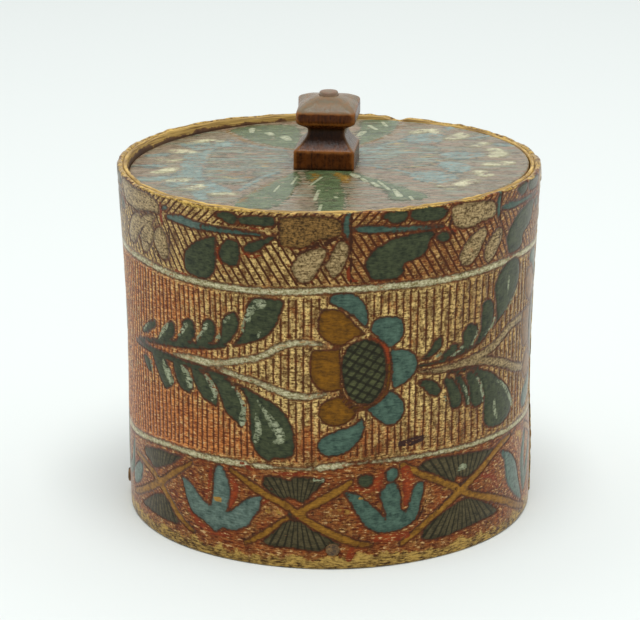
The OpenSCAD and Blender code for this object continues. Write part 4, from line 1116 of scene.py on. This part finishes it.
# The board's places run to the right and its heights away from the camera, and nothing comes round again
board = canvas_for(right, away, 1000.0, ("core", "green", "blue", "cream", "ochre", "white"))
LID_FLOWERS = {
    "core": [
        [(-50, 32), (-40, 36), (-28, 31), (-18, 23), (-15, 6), (-17, -8), (-26, -18), (-36, -30),
         (-46, -30), (-52, -14), (-52, 8), (-51, 22)],
        [(14, 30), (26, 36), (38, 34), (47, 24), (48, 8), (45, -4), (36, -11), (26, -13), (18, -8),
         (13, 4)],
    ],
    "blue": [
        [(-66, 40), (-58, 44), (-48, 47), (-41, 42), (-42, 34), (-48, 30), (-50, 20), (-51, 6), (-52, -8),
         (-50, -22), (-44, -32), (-38, -44), (-44, -50), (-54, -46), (-62, -36), (-68, -30), (-66, -18),
         (-63, -6), (-63, 8), (-62, 20), (-60, 32)],
        [(-76, 21, 2.6), (-70, 22, 3)], [(-80, 2, 2.4), (-71, 2, 3.4)], [(-76, -20, 3.6), (-69, -20, 4.6)],
        [(-52, -47, 3.4), (-50, -54, 3)], [(-20, -12, 1.6), (-26, -20, 2), (-32, -32, 2), (-36, -42, 1.6)],
        [(-17, 24, 1.4), (-28, 31, 1.8), (-37, 38, 2), (-43, 46, 1.4)],
        [(34, 34), (33, 44), (36, 50), (44, 52), (50, 48), (50, 38), (46, 31), (40, 30)],
        [(46, 12), (52, 16), (60, 15), (67, 12), (65, 5), (56, 2), (48, 4)],
        [(45, -2), (52, -1), (59, -8), (58, -18), (52, -21), (46, -14)],
        [(33, -20), (40, -15), (47, -18), (53, -26), (50, -35), (44, -39), (37, -34), (33, -27)],
        [(13, -1, 1.8), (20, -7, 2), (27, -13, 1.8), (33, -20, 1.6)],
        [(13, 24, 2.2), (18, 20, 2.8), (22, 26, 2)], [(22, 30, 1.2), (30, 38, 1.6), (36, 46, 1.2)],
        [(50, 54, 2), (54, 62, 2.4)], [(62, 40, 2.2), (72, 46, 2)], [(72, 28, 2.5), (78, 24, 2.2)],
    ],
    "cream": [
        [(-60, 43, 2.4), (-54, 46, 3.8), (-47, 45, 2)], [(-67, 29, 2.4), (-62, 27, 4.2), (-57, 25, 2.4)],
        [(-71, 14, 2), (-67, 11, 3.4), (-63, 12, 2)], [(-72, -9, 2.8), (-67, -6, 4.2), (-64, -2, 2.4)],
        [(-65, -24, 2.6), (-59, -23, 3.4)], [(-59, -38, 2.8), (-54, -36, 4.2), (-52, -32, 2)],
        [(-45, -47, 2.8), (-39, -48, 2.8)], [(38, 54, 3.2), (44, 57, 4.4), (47, 52, 2.8)],
        [(53, 40, 3.8), (57, 45, 4.4), (58, 50, 2.4)], [(62, 25, 2.8), (66, 30, 3.6)],
        [(70, 18, 3.8), (71, 10, 4.8), (69, 6, 3)], [(66, -7, 3.4), (71, -7, 4.4), (75, -5, 3)],
        [(62, -20, 3.8), (64, -25, 4)], [(57, -35, 4), (53, -40, 4)], [(49, -45, 3.2), (45, -42, 2.2)],
    ],
}
LID_LEAVES = {
    "green": [
        [(-44, 66), (-40, 55), (-34, 43), (-22, 31), (-14, 27), (-12, 45), (-14, 70), (-30, 74)],
        [(13, 32), (22, 42), (28, 54), (31, 66), (31, 78), (16, 80), (13, 60)],
        [(-14, -14), (-22, -26), (-32, -46), (-38, -64), (-32, -71), (-22, -71), (-16, -58), (-13, -40),
         (-11, -26)],
        [(9, -14), (20, -28), (30, -42), (40, -58), (32, -64), (24, -62), (22, -48), (14, -32)],
        [(-9, -13), (9, -13), (9, -24), (5, -36), (7, -48), (7, -60), (6, -77), (-4, -78), (-5, -58),
         (-6, -42), (-9, -28)],
    ],
    "ochre": [
        [(-45, 64, 0.8), (-40, 53, 0.9), (-34, 42, 0.9), (-22, 30.5, 0.9), (-13, 26, 0.7)],
        [(32, 80, 0.9), (31.5, 64, 0.9), (27, 50, 0.8), (14, 32, 0.7)],
        [(3, -17, 1.6), (6, -24, 2.6), (7, -32, 1.6)], [(-6, -18, 0.8), (-5, -24, 1.2), (-7, -31, 0.8)],
        [(-36, -62, 0.6), (-28, -40, 0.7), (-18, -21, 0.6)], [(-41, -2, 0.8), (-38, -2, 0.8)],
        [(-47, -9, 1), (-44, -9, 1)], [(-34, -22, 0.8), (-32, -22, 0.8)], [(-28, 2, 0.8), (-26, 2, 0.8)],
        [(-40, -16, 0.7), (-36, -16, 0.7)],
    ],
    "white": [
        [(-34, 67, 1.6), (-34, 60, 1.1)], [(-26.5, 57.5, 1.9), (-25, 54, 1.5)],
        [(-19.5, 50, 2.2), (-17.5, 44, 1.7)], [(13.2, 50, 1.4), (15, 56, 1.8)],
        [(18, 68, 1.1), (21, 60, 0.9)], [(24, 74, 0.9), (25.5, 66, 0.9)],
        [(9.5, -19, 1.3), (11.5, -24, 1.6)], [(13.4, -27, 0.8), (15, -32, 1.1)],
        [(17.5, -34, 0.8), (19.6, -40, 1.2)], [(20, -32, 0.6), (24, -46, 0.8)],
        [(26, -46, 0.8), (28, -57, 1.5)], [(32, -58, 0.8), (33, -63, 0.6)],
        [(-8, -38, 0.6), (-3, -24, 0.7)], [(-4, -45, 0.8), (-5.6, -60, 0.8)],
        [(-3, -68, 0.7), (-4, -79, 0.7)], [(2.5, -56, 0.8), (3.2, -58, 0.8)],
        [(-13, -22, 0.5), (-15, -34, 0.6)], [(-20, -36, 0.5), (-22, -46, 0.5)],
    ],
}
lay(board, LID_FLOWERS)
lay(board, LID_LEAVES)
paint = board["paint"]
covered, outline = what_shows(paint, ("cream", "blue", "green", "core"))
on_top = fade(level, LID_TOP - LID_BEVEL, LID_TOP - 0.2) * fade(reach, HOLE_R + 0.1, HOLE_R + 0.4)
coat = COAT_T * (fade(covered, 0, -1) - fade(outline, 0.8, 0))
height = level + warp + on_top * coat * fade(reach, FLAT_R, FLAT_R + 4)
fields = {**paint, "outline": outline, "painted": on_top}
lid_board = surface("lid_board_disc", round_axis(reach, turn, height), "lid", fields, True)
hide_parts("lid_board")

# Pine, painted in distemper colours and varnished on top, sawn and bare below: the
# grain lies left to right and lifts the coat in fine ridges, under an even gloss.
# Grain lines are 2.4 mm wide, daubs 11 by 3.6 mm, strokes 22 by 3 mm, flecks 2.4 by 1.4 mm.
painted_board, tree = new_material("painted_pine")
place = node(tree, "TexCoord", out="Object")
millimetres = node(tree, "Mapping", {"Vector": place, "Scale": (1000, 1000, 1000)})
plank = node(tree, "Mapping", {"Vector": place, "Scale": (25, 420, 420)})
grain = node(tree, "TexNoise", {"Vector": plank, "Scale": 1.0, "Detail": 4.0, "Roughness": 0.6})
dabbed = node(tree, "Mapping", {"Vector": place, "Scale": (90, 280, 280)})
daubs = node(tree, "TexNoise", {"Vector": dabbed, "Scale": 1.0, "Detail": 5.0, "Roughness": 0.7})
flecked = node(tree, "Mapping", {"Vector": place, "Scale": (420, 700, 700)})
flecks = node(tree, "TexNoise", {"Vector": flecked, "Scale": 1.0, "Detail": 3.0, "Roughness": 0.65})
smeared = node(tree, "Mapping", {"Vector": place, "Scale": (45, 330, 330)})
brushing = {"Vector": smeared, "Scale": 1.0, "Detail": 4.0, "Roughness": 0.65, "Distortion": 0.8}
strokes = node(tree, "TexNoise", brushing)
folded = node(tree, "Mapping", {"Vector": place, "Scale": (60, 260, 260)})
folds = node(tree, "TexNoise", {"Vector": folded, "Scale": 1.0, "Detail": 3.0, "Distortion": 0.6})
wear = node(tree, "TexNoise", {"Vector": millimetres, "Scale": 0.16, "Detail": 8.0, "Roughness": 0.7})
# The brush left ragged ends and streaks of the paint below
tints = node(tree, "Math", {0: flecks, 1: daubs}, operation="ADD")
wander = node(tree, "Math", {0: tints, 1: 20.0, 2: -20.0}, operation="MULTIPLY_ADD")
rubbed = node(tree, "Math", {0: flecks, 1: wear}, operation="ADD")
tint = node(tree, "MapRange", {0: tints, 1: 0.76, 2: 1.24})
colour = node(tree, "Mix", {0: tint, A: linear("#5a4e34"), B: linear("#96886e")}, **COLOURS)
for streak, low, high in (("#8a6c56", 0.47, 0.38), ("#748470", 0.53, 0.62)):
    laid = node(tree, "MapRange", {0: strokes, 1: low, 2: high, 3: 0.0, 4: 0.7})
    colour = node(tree, "Mix", {0: laid, A: colour, B: linear(streak)}, **COLOURS)
BOARD_COATS = [
    ("core", "#464c38", "#7c826a", 1.04),
    ("green", "#36482a", "#6a7a54", 1.2),
    ("blue", "#526860", "#8ca49a", 1.07),
    ("cream", "#84845e", "#e2deb4", 1.04),
    ("ochre", "#705218", "#b08e44", 1.14),
]
for name, thin, thick, lasting in BOARD_COATS:
    left = node(tree, "MapRange", {0: rubbed, 1: lasting + 0.06, 2: lasting - 0.06})
    colour = paint_coat(tree, colour, name, thin, thick, tint, wander, left)
# The flowers' middles are dabbed over with yellow, dull pink and blue, and the coat has dark cracks
# and folds
core_gap = node(tree, "Attribute", out="Fac", attribute_name="core")
inside = node(tree, "MapRange", {0: core_gap, 1: 1.0, 2: -2.0})
DABS = [(daubs, "#a8924c", 0.58, 0.66), (daubs, "#8a6c58", 0.45, 0.38), (strokes, "#7c948a", 0.52, 0.6)]
for strewn, dab, low, high in DABS:
    laid = node(tree, "MapRange", {0: strewn, 1: low, 2: high, 3: 0.0, 4: 0.7})
    laid = node(tree, "Math", {0: laid, 1: inside}, operation="MULTIPLY")
    colour = node(tree, "Mix", {0: laid, A: colour, B: linear(dab)}, **COLOURS)
cracks = node(tree, "MapRange", {0: flecks, 1: 0.36, 2: 0.28, 3: 0.0, 4: 0.7})
colour = node(tree, "Mix", {0: cracks, A: colour, B: linear("#3a3222")}, **COLOURS)
from_fold = node(tree, "Math", {0: folds, 1: 0.5}, operation="SUBTRACT")
from_fold = node(tree, "Math", {0: from_fold}, operation="ABSOLUTE")
fold_line = node(tree, "MapRange", {0: from_fold, 1: 0.035, 2: 0.01})
fold_share = node(tree, "MapRange", {0: wear, 1: 0.45, 2: 0.6, 3: 0.0, 4: 0.6})
fold_line = node(tree, "Math", {0: fold_line, 1: fold_share}, operation="MULTIPLY")
colour = node(tree, "Mix", {0: fold_line, A: colour, B: linear("#3a3626")}, **COLOURS)
edge_gap = node(tree, "Attribute", out="Fac", attribute_name="outline")
ragged_edge = node(tree, "Math", {0: wander, 1: 0.5, 2: edge_gap}, operation="MULTIPLY_ADD")
in_outline = node(tree, "MapRange", {0: ragged_edge, 1: 0.6, 2: 0.2, 3: 0.0, 4: 0.35})
colour = node(tree, "Mix", {0: in_outline, A: colour, B: linear("#5a4630")}, **COLOURS)
streaks = node(tree, "MapRange", {0: flecks, 1: 0.62, 2: 0.5})
colour = paint_coat(tree, colour, "white", "#8a9070", "#e0e2c0", tint, 0.0, streaks)
bare_tone = node(tree, "Mix", {0: grain, A: linear("#7e5a30"), B: linear("#c09a60")}, **COLOURS)
painted = node(tree, "Attribute", out="Fac", attribute_name="painted")
colour = node(tree, "Mix", {0: painted, A: bare_tone, B: colour}, **COLOURS)
gloss = node(tree, "MapRange", {0: painted, 3: 0.6, 4: 0.26})
ridges = node(tree, "Math", {0: grain, 1: 0.6, 2: tints}, operation="MULTIPLY_ADD")
ridges = node(tree, "Math", {0: fold_line, 1: -0.6, 2: ridges}, operation="MULTIPLY_ADD")
bump = node(tree, "Bump", {"Height": ridges, "Strength": 0.8, "Distance": 0.0005})
varnish = {"Specular IOR Level": 0.3}
shader = node(tree, "BsdfPrincipled", {"Base Color": colour, "Roughness": gloss, "Normal": bump, **varnish})
node(tree, "OutputMaterial", {"Surface": shader})
lid_board.data.materials.append(painted_board)

# Knob: carved from a square block of pine, with a foot, a hollowed waist and a cap
# like a low roof. It is stained dark red-brown and varnished, and worn on its edges.
KNOB_FOOT_W, KNOB_FOOT_H = 25.2, 7.8
KNOB_WAIST_W, KNOB_COVE_H, COVE_POWER = 15.4, 7.0, 1.6
KNOB_CAP_W, KNOB_TOP_W = 24.7, 9.6
KNOB_ROOF_IN, KNOB_EASE = 3.0, 1.3
BORE_ROWS = 4


def eased_outline(corners, ease):
    """A polyline with its corners eased: near each corner, a quadratic curve between points at a short
    ease along its two sides, and longer straight stretches cut into pieces of about 1 mm."""
    p = np.array(corners, float)
    rows = [p[:1]]
    for a, b, c in zip(p, p[1:], p[2:]):
        before = b + (a - b) * min(0.45, ease / np.linalg.norm(a - b))
        after = b + (c - b) * min(0.45, ease / np.linalg.norm(c - b))
        start = rows[-1][-1]
        share = np.linspace(0, 1, 2 + int(np.linalg.norm(before - start)))[1:, None]
        rows.append(start + share * (before - start))
        t = np.linspace(0, 1, 5)[1:, None]
        rows.append((1 - t) ** 2 * before + 2 * t * (1 - t) * b + t**2 * after)
    share = np.linspace(0, 1, 2 + int(np.linalg.norm(p[-1] - rows[-1][-1])))[1:, None]
    rows.append(rows[-1][-1] + share * (p[-1] - rows[-1][-1]))
    return np.concatenate(rows)


def square_section(half, corner):
    """Points round a square with rounded corners: for each side, points along its flat and then a quarter
    circle. A point is (half - corner) times its place on a square of half width 1, plus corner times the
    way that it faces, row by row."""
    flat = np.linspace(-1, 1, 30)
    bend = np.linspace(0, np.pi / 2, 7)[1:-1]
    spans, turns = [], []
    for k in range(4):
        normal = np.array([math.sin(k * math.pi / 2), -math.cos(k * math.pi / 2)])
        tangent = np.array([math.cos(k * math.pi / 2), math.sin(k * math.pi / 2)])
        spans += [normal + flat[:, None] * tangent, np.broadcast_to(normal + tangent, (len(bend), 2))]
        turns += [np.broadcast_to(normal, (len(flat), 2))]
        turns += [np.cos(bend)[:, None] * normal + np.sin(bend)[:, None] * tangent]
    return (half - corner)[..., None] * np.concatenate(spans) + corner[..., None] * np.concatenate(turns)


cove = np.linspace(0, 1, 13)
cove_half = (KNOB_WAIST_W + (KNOB_FOOT_W - KNOB_WAIST_W) * (1 - cove) ** COVE_POWER) / 2
cove_z = KNOB_FOOT_H + KNOB_COVE_H * cove
waist_top, side_foot, side_top, roof_foot, roof_top = 16.5, 19.1, 25.2, 27.3, 29.2
knob_corners = [
    (KNOB_FOOT_W / 2, 0), (KNOB_FOOT_W / 2, KNOB_FOOT_H), *zip(cove_half[1:], cove_z[1:]),
    (KNOB_WAIST_W / 2, waist_top), (KNOB_CAP_W / 2, side_foot), (KNOB_CAP_W / 2, side_top),
    (KNOB_CAP_W / 2 - KNOB_ROOF_IN, roof_foot), (KNOB_TOP_W / 2, roof_top), (HOLE_R + 0.1, roof_top),
]
outline = eased_outline(knob_corners, KNOB_EASE)
half, rise = outline[:, :1], outline[:, 1:]
corner_r = np.interp(rise, (0, 17, 19, 24.5, roof_foot, roof_top), (1.4, 1.2, 1.8, 2.0, 3.4, 4.0))
flat_points = square_section(half, corner_r)
directions = flat_points[0] / np.linalg.norm(flat_points[0], axis=-1, keepdims=True)
bore = np.stack([HOLE_R * directions] * BORE_ROWS)
bore_rise = np.linspace(roof_top, 0, BORE_ROWS)[:, None]
flat_points = np.concatenate([flat_points, bore])
rise = np.concatenate([rise, bore_rise])
# The block is hand cut: its foot lies a little to the left, and its cap is wider at the back left
flat_x, flat_y = flat_points[..., 0], flat_points[..., 1]
lean = np.interp(rise, (0, 8, 17, roof_top), (-1.0, -0.9, -0.3, -0.2))
on_block = np.concatenate([np.ones(len(half)), np.zeros(BORE_ROWS)])[:, None]
skew_back = fade(flat_y, 0, 12) * fade(flat_x, 0, -12) * fade(rise, 17, 20)
x = flat_x + on_block * (lean - 1.6 * skew_back)
# The roof was cut aslant, so its eaves lie higher at the back and lower at the front
aslant = np.interp(flat_y / 12, (-1, -0.2, 0.2, 1), (-1.4, 0, 0, 1.3)) * on_block
aslant = aslant * np.interp(rise, (20, 25, roof_foot, roof_top), (0, 1, 0.8, 0))
knob_points = np.stack(np.broadcast_arrays(x, flat_y, LID_TOP + rise + aslant), axis=-1)
# How near a point is to an edge of the block, for the wear along it
square_gap = np.abs(np.abs(flat_x) - np.abs(flat_y))
ridge_z = np.array([KNOB_FOOT_H, side_foot, side_top, roof_foot, roof_top])
ridge_gap = np.abs(rise - ridge_z).min(axis=1, keepdims=True)
edge = np.minimum(square_gap * 0.7, ridge_gap * 1.4)
# Dust and a painted sheen lighten the roof and the hollowed sides and back; painted shade darkens the
# foot's base and the hollow under the cap, most at the front
in_front = fade(flat_y + np.abs(flat_x), 0.75, -0.75)
hollow = np.interp(rise, (7.6, 8.6, 14, waist_top), (0, 0.85, 0.7, 0))
# Dust with a painted sheen: lighter on the roof and on the hollow's sides and back
dust_and_sheen = (hollow * (1 - in_front) + fade(rise, 24.8, 25.6)) * on_block
# Painted shade: darker at the foot's base and under the cap, most at the front
painted_shade = np.interp(rise, (0, 1.5, 9, 11, waist_top, 17.5), (0.8, 0, 0, 0.7, 0.8, 0)) * on_block
painted_shade = painted_shade * (0.4 + 0.6 * in_front)
knob_fields = {"edge_gap": edge, "dust_and_sheen": dust_and_sheen, "painted_shade": painted_shade}
knob = surface("knob_block", knob_points, "lid", knob_fields, True)
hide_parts("knob")

# Pine stained dark red-brown and varnished: the grain just shows, the stain is rubbed
# through to orange wood along the edges, grey-brown dust and a painted sheen lighten
# what faces up, and painted shade darkens the foot's base and the hollow under the cap.
# The grain is 1 mm wide and 11 mm long, and the wear is in patches of about 2 mm.
stained_knob, tree = new_material("stained_pine")
place = node(tree, "TexCoord", out="Object")
millimetres = node(tree, "Mapping", {"Vector": place, "Scale": (1000, 1000, 1000)})
upright = node(tree, "Mapping", {"Vector": place, "Scale": (900, 900, 90)})
grain = node(tree, "TexNoise", {"Vector": upright, "Scale": 1.0, "Detail": 3.0, "Roughness": 0.6})
wear = node(tree, "TexNoise", {"Vector": millimetres, "Scale": 0.45, "Detail": 5.0, "Roughness": 0.65})
streak = node(tree, "MapRange", {0: grain, 1: 0.35, 2: 0.65})
stain = node(tree, "Mix", {0: streak, A: linear("#2c1206"), B: linear("#5e300c")}, **COLOURS)
cloud = node(tree, "MapRange", {0: wear, 1: 0.42, 2: 0.68, 3: 0.0, 4: 0.6})
stain = node(tree, "Mix", {0: cloud, A: stain, B: linear("#6a3a12")}, **COLOURS)
edge_gap = node(tree, "Attribute", out="Fac", attribute_name="edge_gap")
rub = node(tree, "Math", {0: wear, 1: -2.6, 2: edge_gap}, operation="MULTIPLY_ADD")
rubbed = node(tree, "MapRange", {0: rub, 1: 0.1, 2: -1.1, 3: 0.0, 4: 0.7})
colour = node(tree, "Mix", {0: rubbed, A: stain, B: linear("#965e28")}, **COLOURS)
# Painted shade at the foot's base and in the hollow under the cap
painted_shade_share = node(tree, "Attribute", out="Fac", attribute_name="painted_shade")
colour = node(tree, "Mix", {0: painted_shade_share, A: colour, B: linear("#1c1108")}, **COLOURS)
# Dust with a painted sheen lightens the roof and the hollow's sides and back
dust_and_sheen_share = node(tree, "Attribute", out="Fac", attribute_name="dust_and_sheen")
dust_and_sheen_left = node(tree, "MapRange", {0: wear, 1: 0.3, 2: 0.6, 3: 1.0, 4: 0.6})
dust_and_sheen_cover = node(tree, "Math", {0: dust_and_sheen_share, 1: dust_and_sheen_left}, operation="MULTIPLY")
colour = node(tree, "Mix", {0: dust_and_sheen_cover, A: colour, B: linear("#7a705c")}, **COLOURS)
gloss = node(tree, "MapRange", {0: wear, 1: 0.3, 2: 0.7, 3: 0.2, 4: 0.36})
relief = node(tree, "Math", {0: grain, 1: wear}, operation="ADD")
bump = node(tree, "Bump", {"Height": relief, "Strength": 0.35, "Distance": 0.0003})
varnish = {"Specular IOR Level": 0.16}
shader = node(tree, "BsdfPrincipled", {"Base Color": colour, "Roughness": gloss, "Normal": bump, **varnish})
node(tree, "OutputMaterial", {"Surface": shader})
knob.data.materials.append(stained_knob)

# Dowel and cotter: a whittled birch dowel goes down through the knob and the lid,
# and a small peg through its tail holds both; its worn top shows on the knob.
DOWEL_D, COTTER_D, COTTER_L = 8.0, 4.0, 24.0
dowel_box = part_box("knob_dowel")
cotter_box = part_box("dowel_cotter")
cotter_z = (cotter_box[0].z + cotter_box[1].z) / 2 / MM
dowel_ends = (0, 0, dowel_box[0].z / MM), (0, 0, dowel_box[1].z / MM)
cotter_ends = (-COTTER_L / 2, 0, cotter_z), (COTTER_L / 2, 0, cotter_z)
for name, (start, end), width, slot, seed in (
    ("knob_dowel", dowel_ends, DOWEL_D, "dowel_wood", 51),
    ("dowel_cotter", cotter_ends, COTTER_D, "peg_wood", 52),
):
    points, ends = whittled(start, end, width, seed)
    # The dowel's top gets dust with a painted sheen, like the knob's roof
    ends["dust_and_sheen"] = fade(points[..., 2], LID_TOP + 27.5, LID_TOP + 28.5)
    stick = surface(name + "_stick", points, "lid", ends)
    stick.data.materials.append(peg_wood)
    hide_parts(name)

# Floor, light and camera: a pale paper sweep in a white light tent that is open,
# and so darker, on the side where the camera stands.
FLOOR = 3.0
floor_mesh = bpy.data.meshes.new("floor")
floor_corners = [(-FLOOR, -FLOOR, 0), (FLOOR, -FLOOR, 0), (FLOOR, FLOOR, 0), (-FLOOR, FLOOR, 0)]
floor_mesh.from_pydata(floor_corners, [], [(0, 1, 2, 3)])
floor = bpy.data.objects.new("floor", floor_mesh)
bpy.context.scene.collection.objects.link(floor)
paper, tree = new_material("pale_paper")
sheet = {"Base Color": linear("#e2e8e6"), "Roughness": 1.0, "Specular IOR Level": 0.1}
shader = node(tree, "BsdfPrincipled", sheet)
node(tree, "OutputMaterial", {"Surface": shader})
floor_mesh.materials.append(paper)

world = bpy.data.worlds.new("white_tent")
bpy.context.scene.world = world
world.use_nodes = True
tree = world.node_tree
tree.nodes.clear()
OPEN_SIDE = (0.1, -0.93, 0.35)
way = node(tree, "TexCoord", out="Generated")
towards = node(tree, "VectorMath", {0: way, 1: OPEN_SIDE}, out="Value", operation="DOT_PRODUCT")
TENT_GLOW, OPEN_GLOW = 0.9, 0.46
opening = {0: towards, 1: 0.1, 2: 0.85, 3: TENT_GLOW, 4: OPEN_GLOW}
glow = node(tree, "MapRange", opening, interpolation_type="SMOOTHSTEP")
tent = node(tree, "Background", {"Color": (1, 1, 1, 1), "Strength": glow})
node(tree, "OutputWorld", {"Surface": tent})
bpy.context.scene.view_settings.view_transform = "Standard"

# A wide soft lamp hangs over the object, a little towards the camera
LAMP_AT, LAMP_W, LAMP_POWER = (0.15, -0.6, 2.8), 1.3, 50.0
lamp = bpy.data.objects.new("lamp", bpy.data.lights.new("lamp", "AREA"))
bpy.context.scene.collection.objects.link(lamp)
lamp.data.size = LAMP_W
lamp.data.energy = LAMP_POWER
lamp.location = LAMP_AT
lamp.rotation_euler = mathutils.Vector(LAMP_AT).to_track_quat("Z", "Y").to_euler()

CAMERA_AZIMUTH, CAMERA_ELEVATION = math.radians(6.0), math.radians(17.57)
CAMERA_DISTANCE, LENS = 1.0638, 140.44
# The frame's width, and how far the picture is shifted in it, in pixels
FRAME_W, SHIFT_X, SHIFT_Y = 640, -8.91, 19.0
camera = bpy.data.objects.new("camera", bpy.data.cameras.new("camera"))
bpy.context.scene.collection.objects.link(camera)
camera.data.lens = LENS
camera.data.shift_x, camera.data.shift_y = SHIFT_X / FRAME_W, SHIFT_Y / FRAME_W
camera.location = (
    CAMERA_DISTANCE * math.sin(CAMERA_AZIMUTH) * math.cos(CAMERA_ELEVATION),
    -CAMERA_DISTANCE * math.cos(CAMERA_AZIMUTH) * math.cos(CAMERA_ELEVATION),
    CAMERA_DISTANCE * math.sin(CAMERA_ELEVATION) + WALL_H / 2 * MM,
)
camera.rotation_euler = (math.pi / 2 - CAMERA_ELEVATION, 0, CAMERA_AZIMUTH)
bpy.context.scene.camera = camera
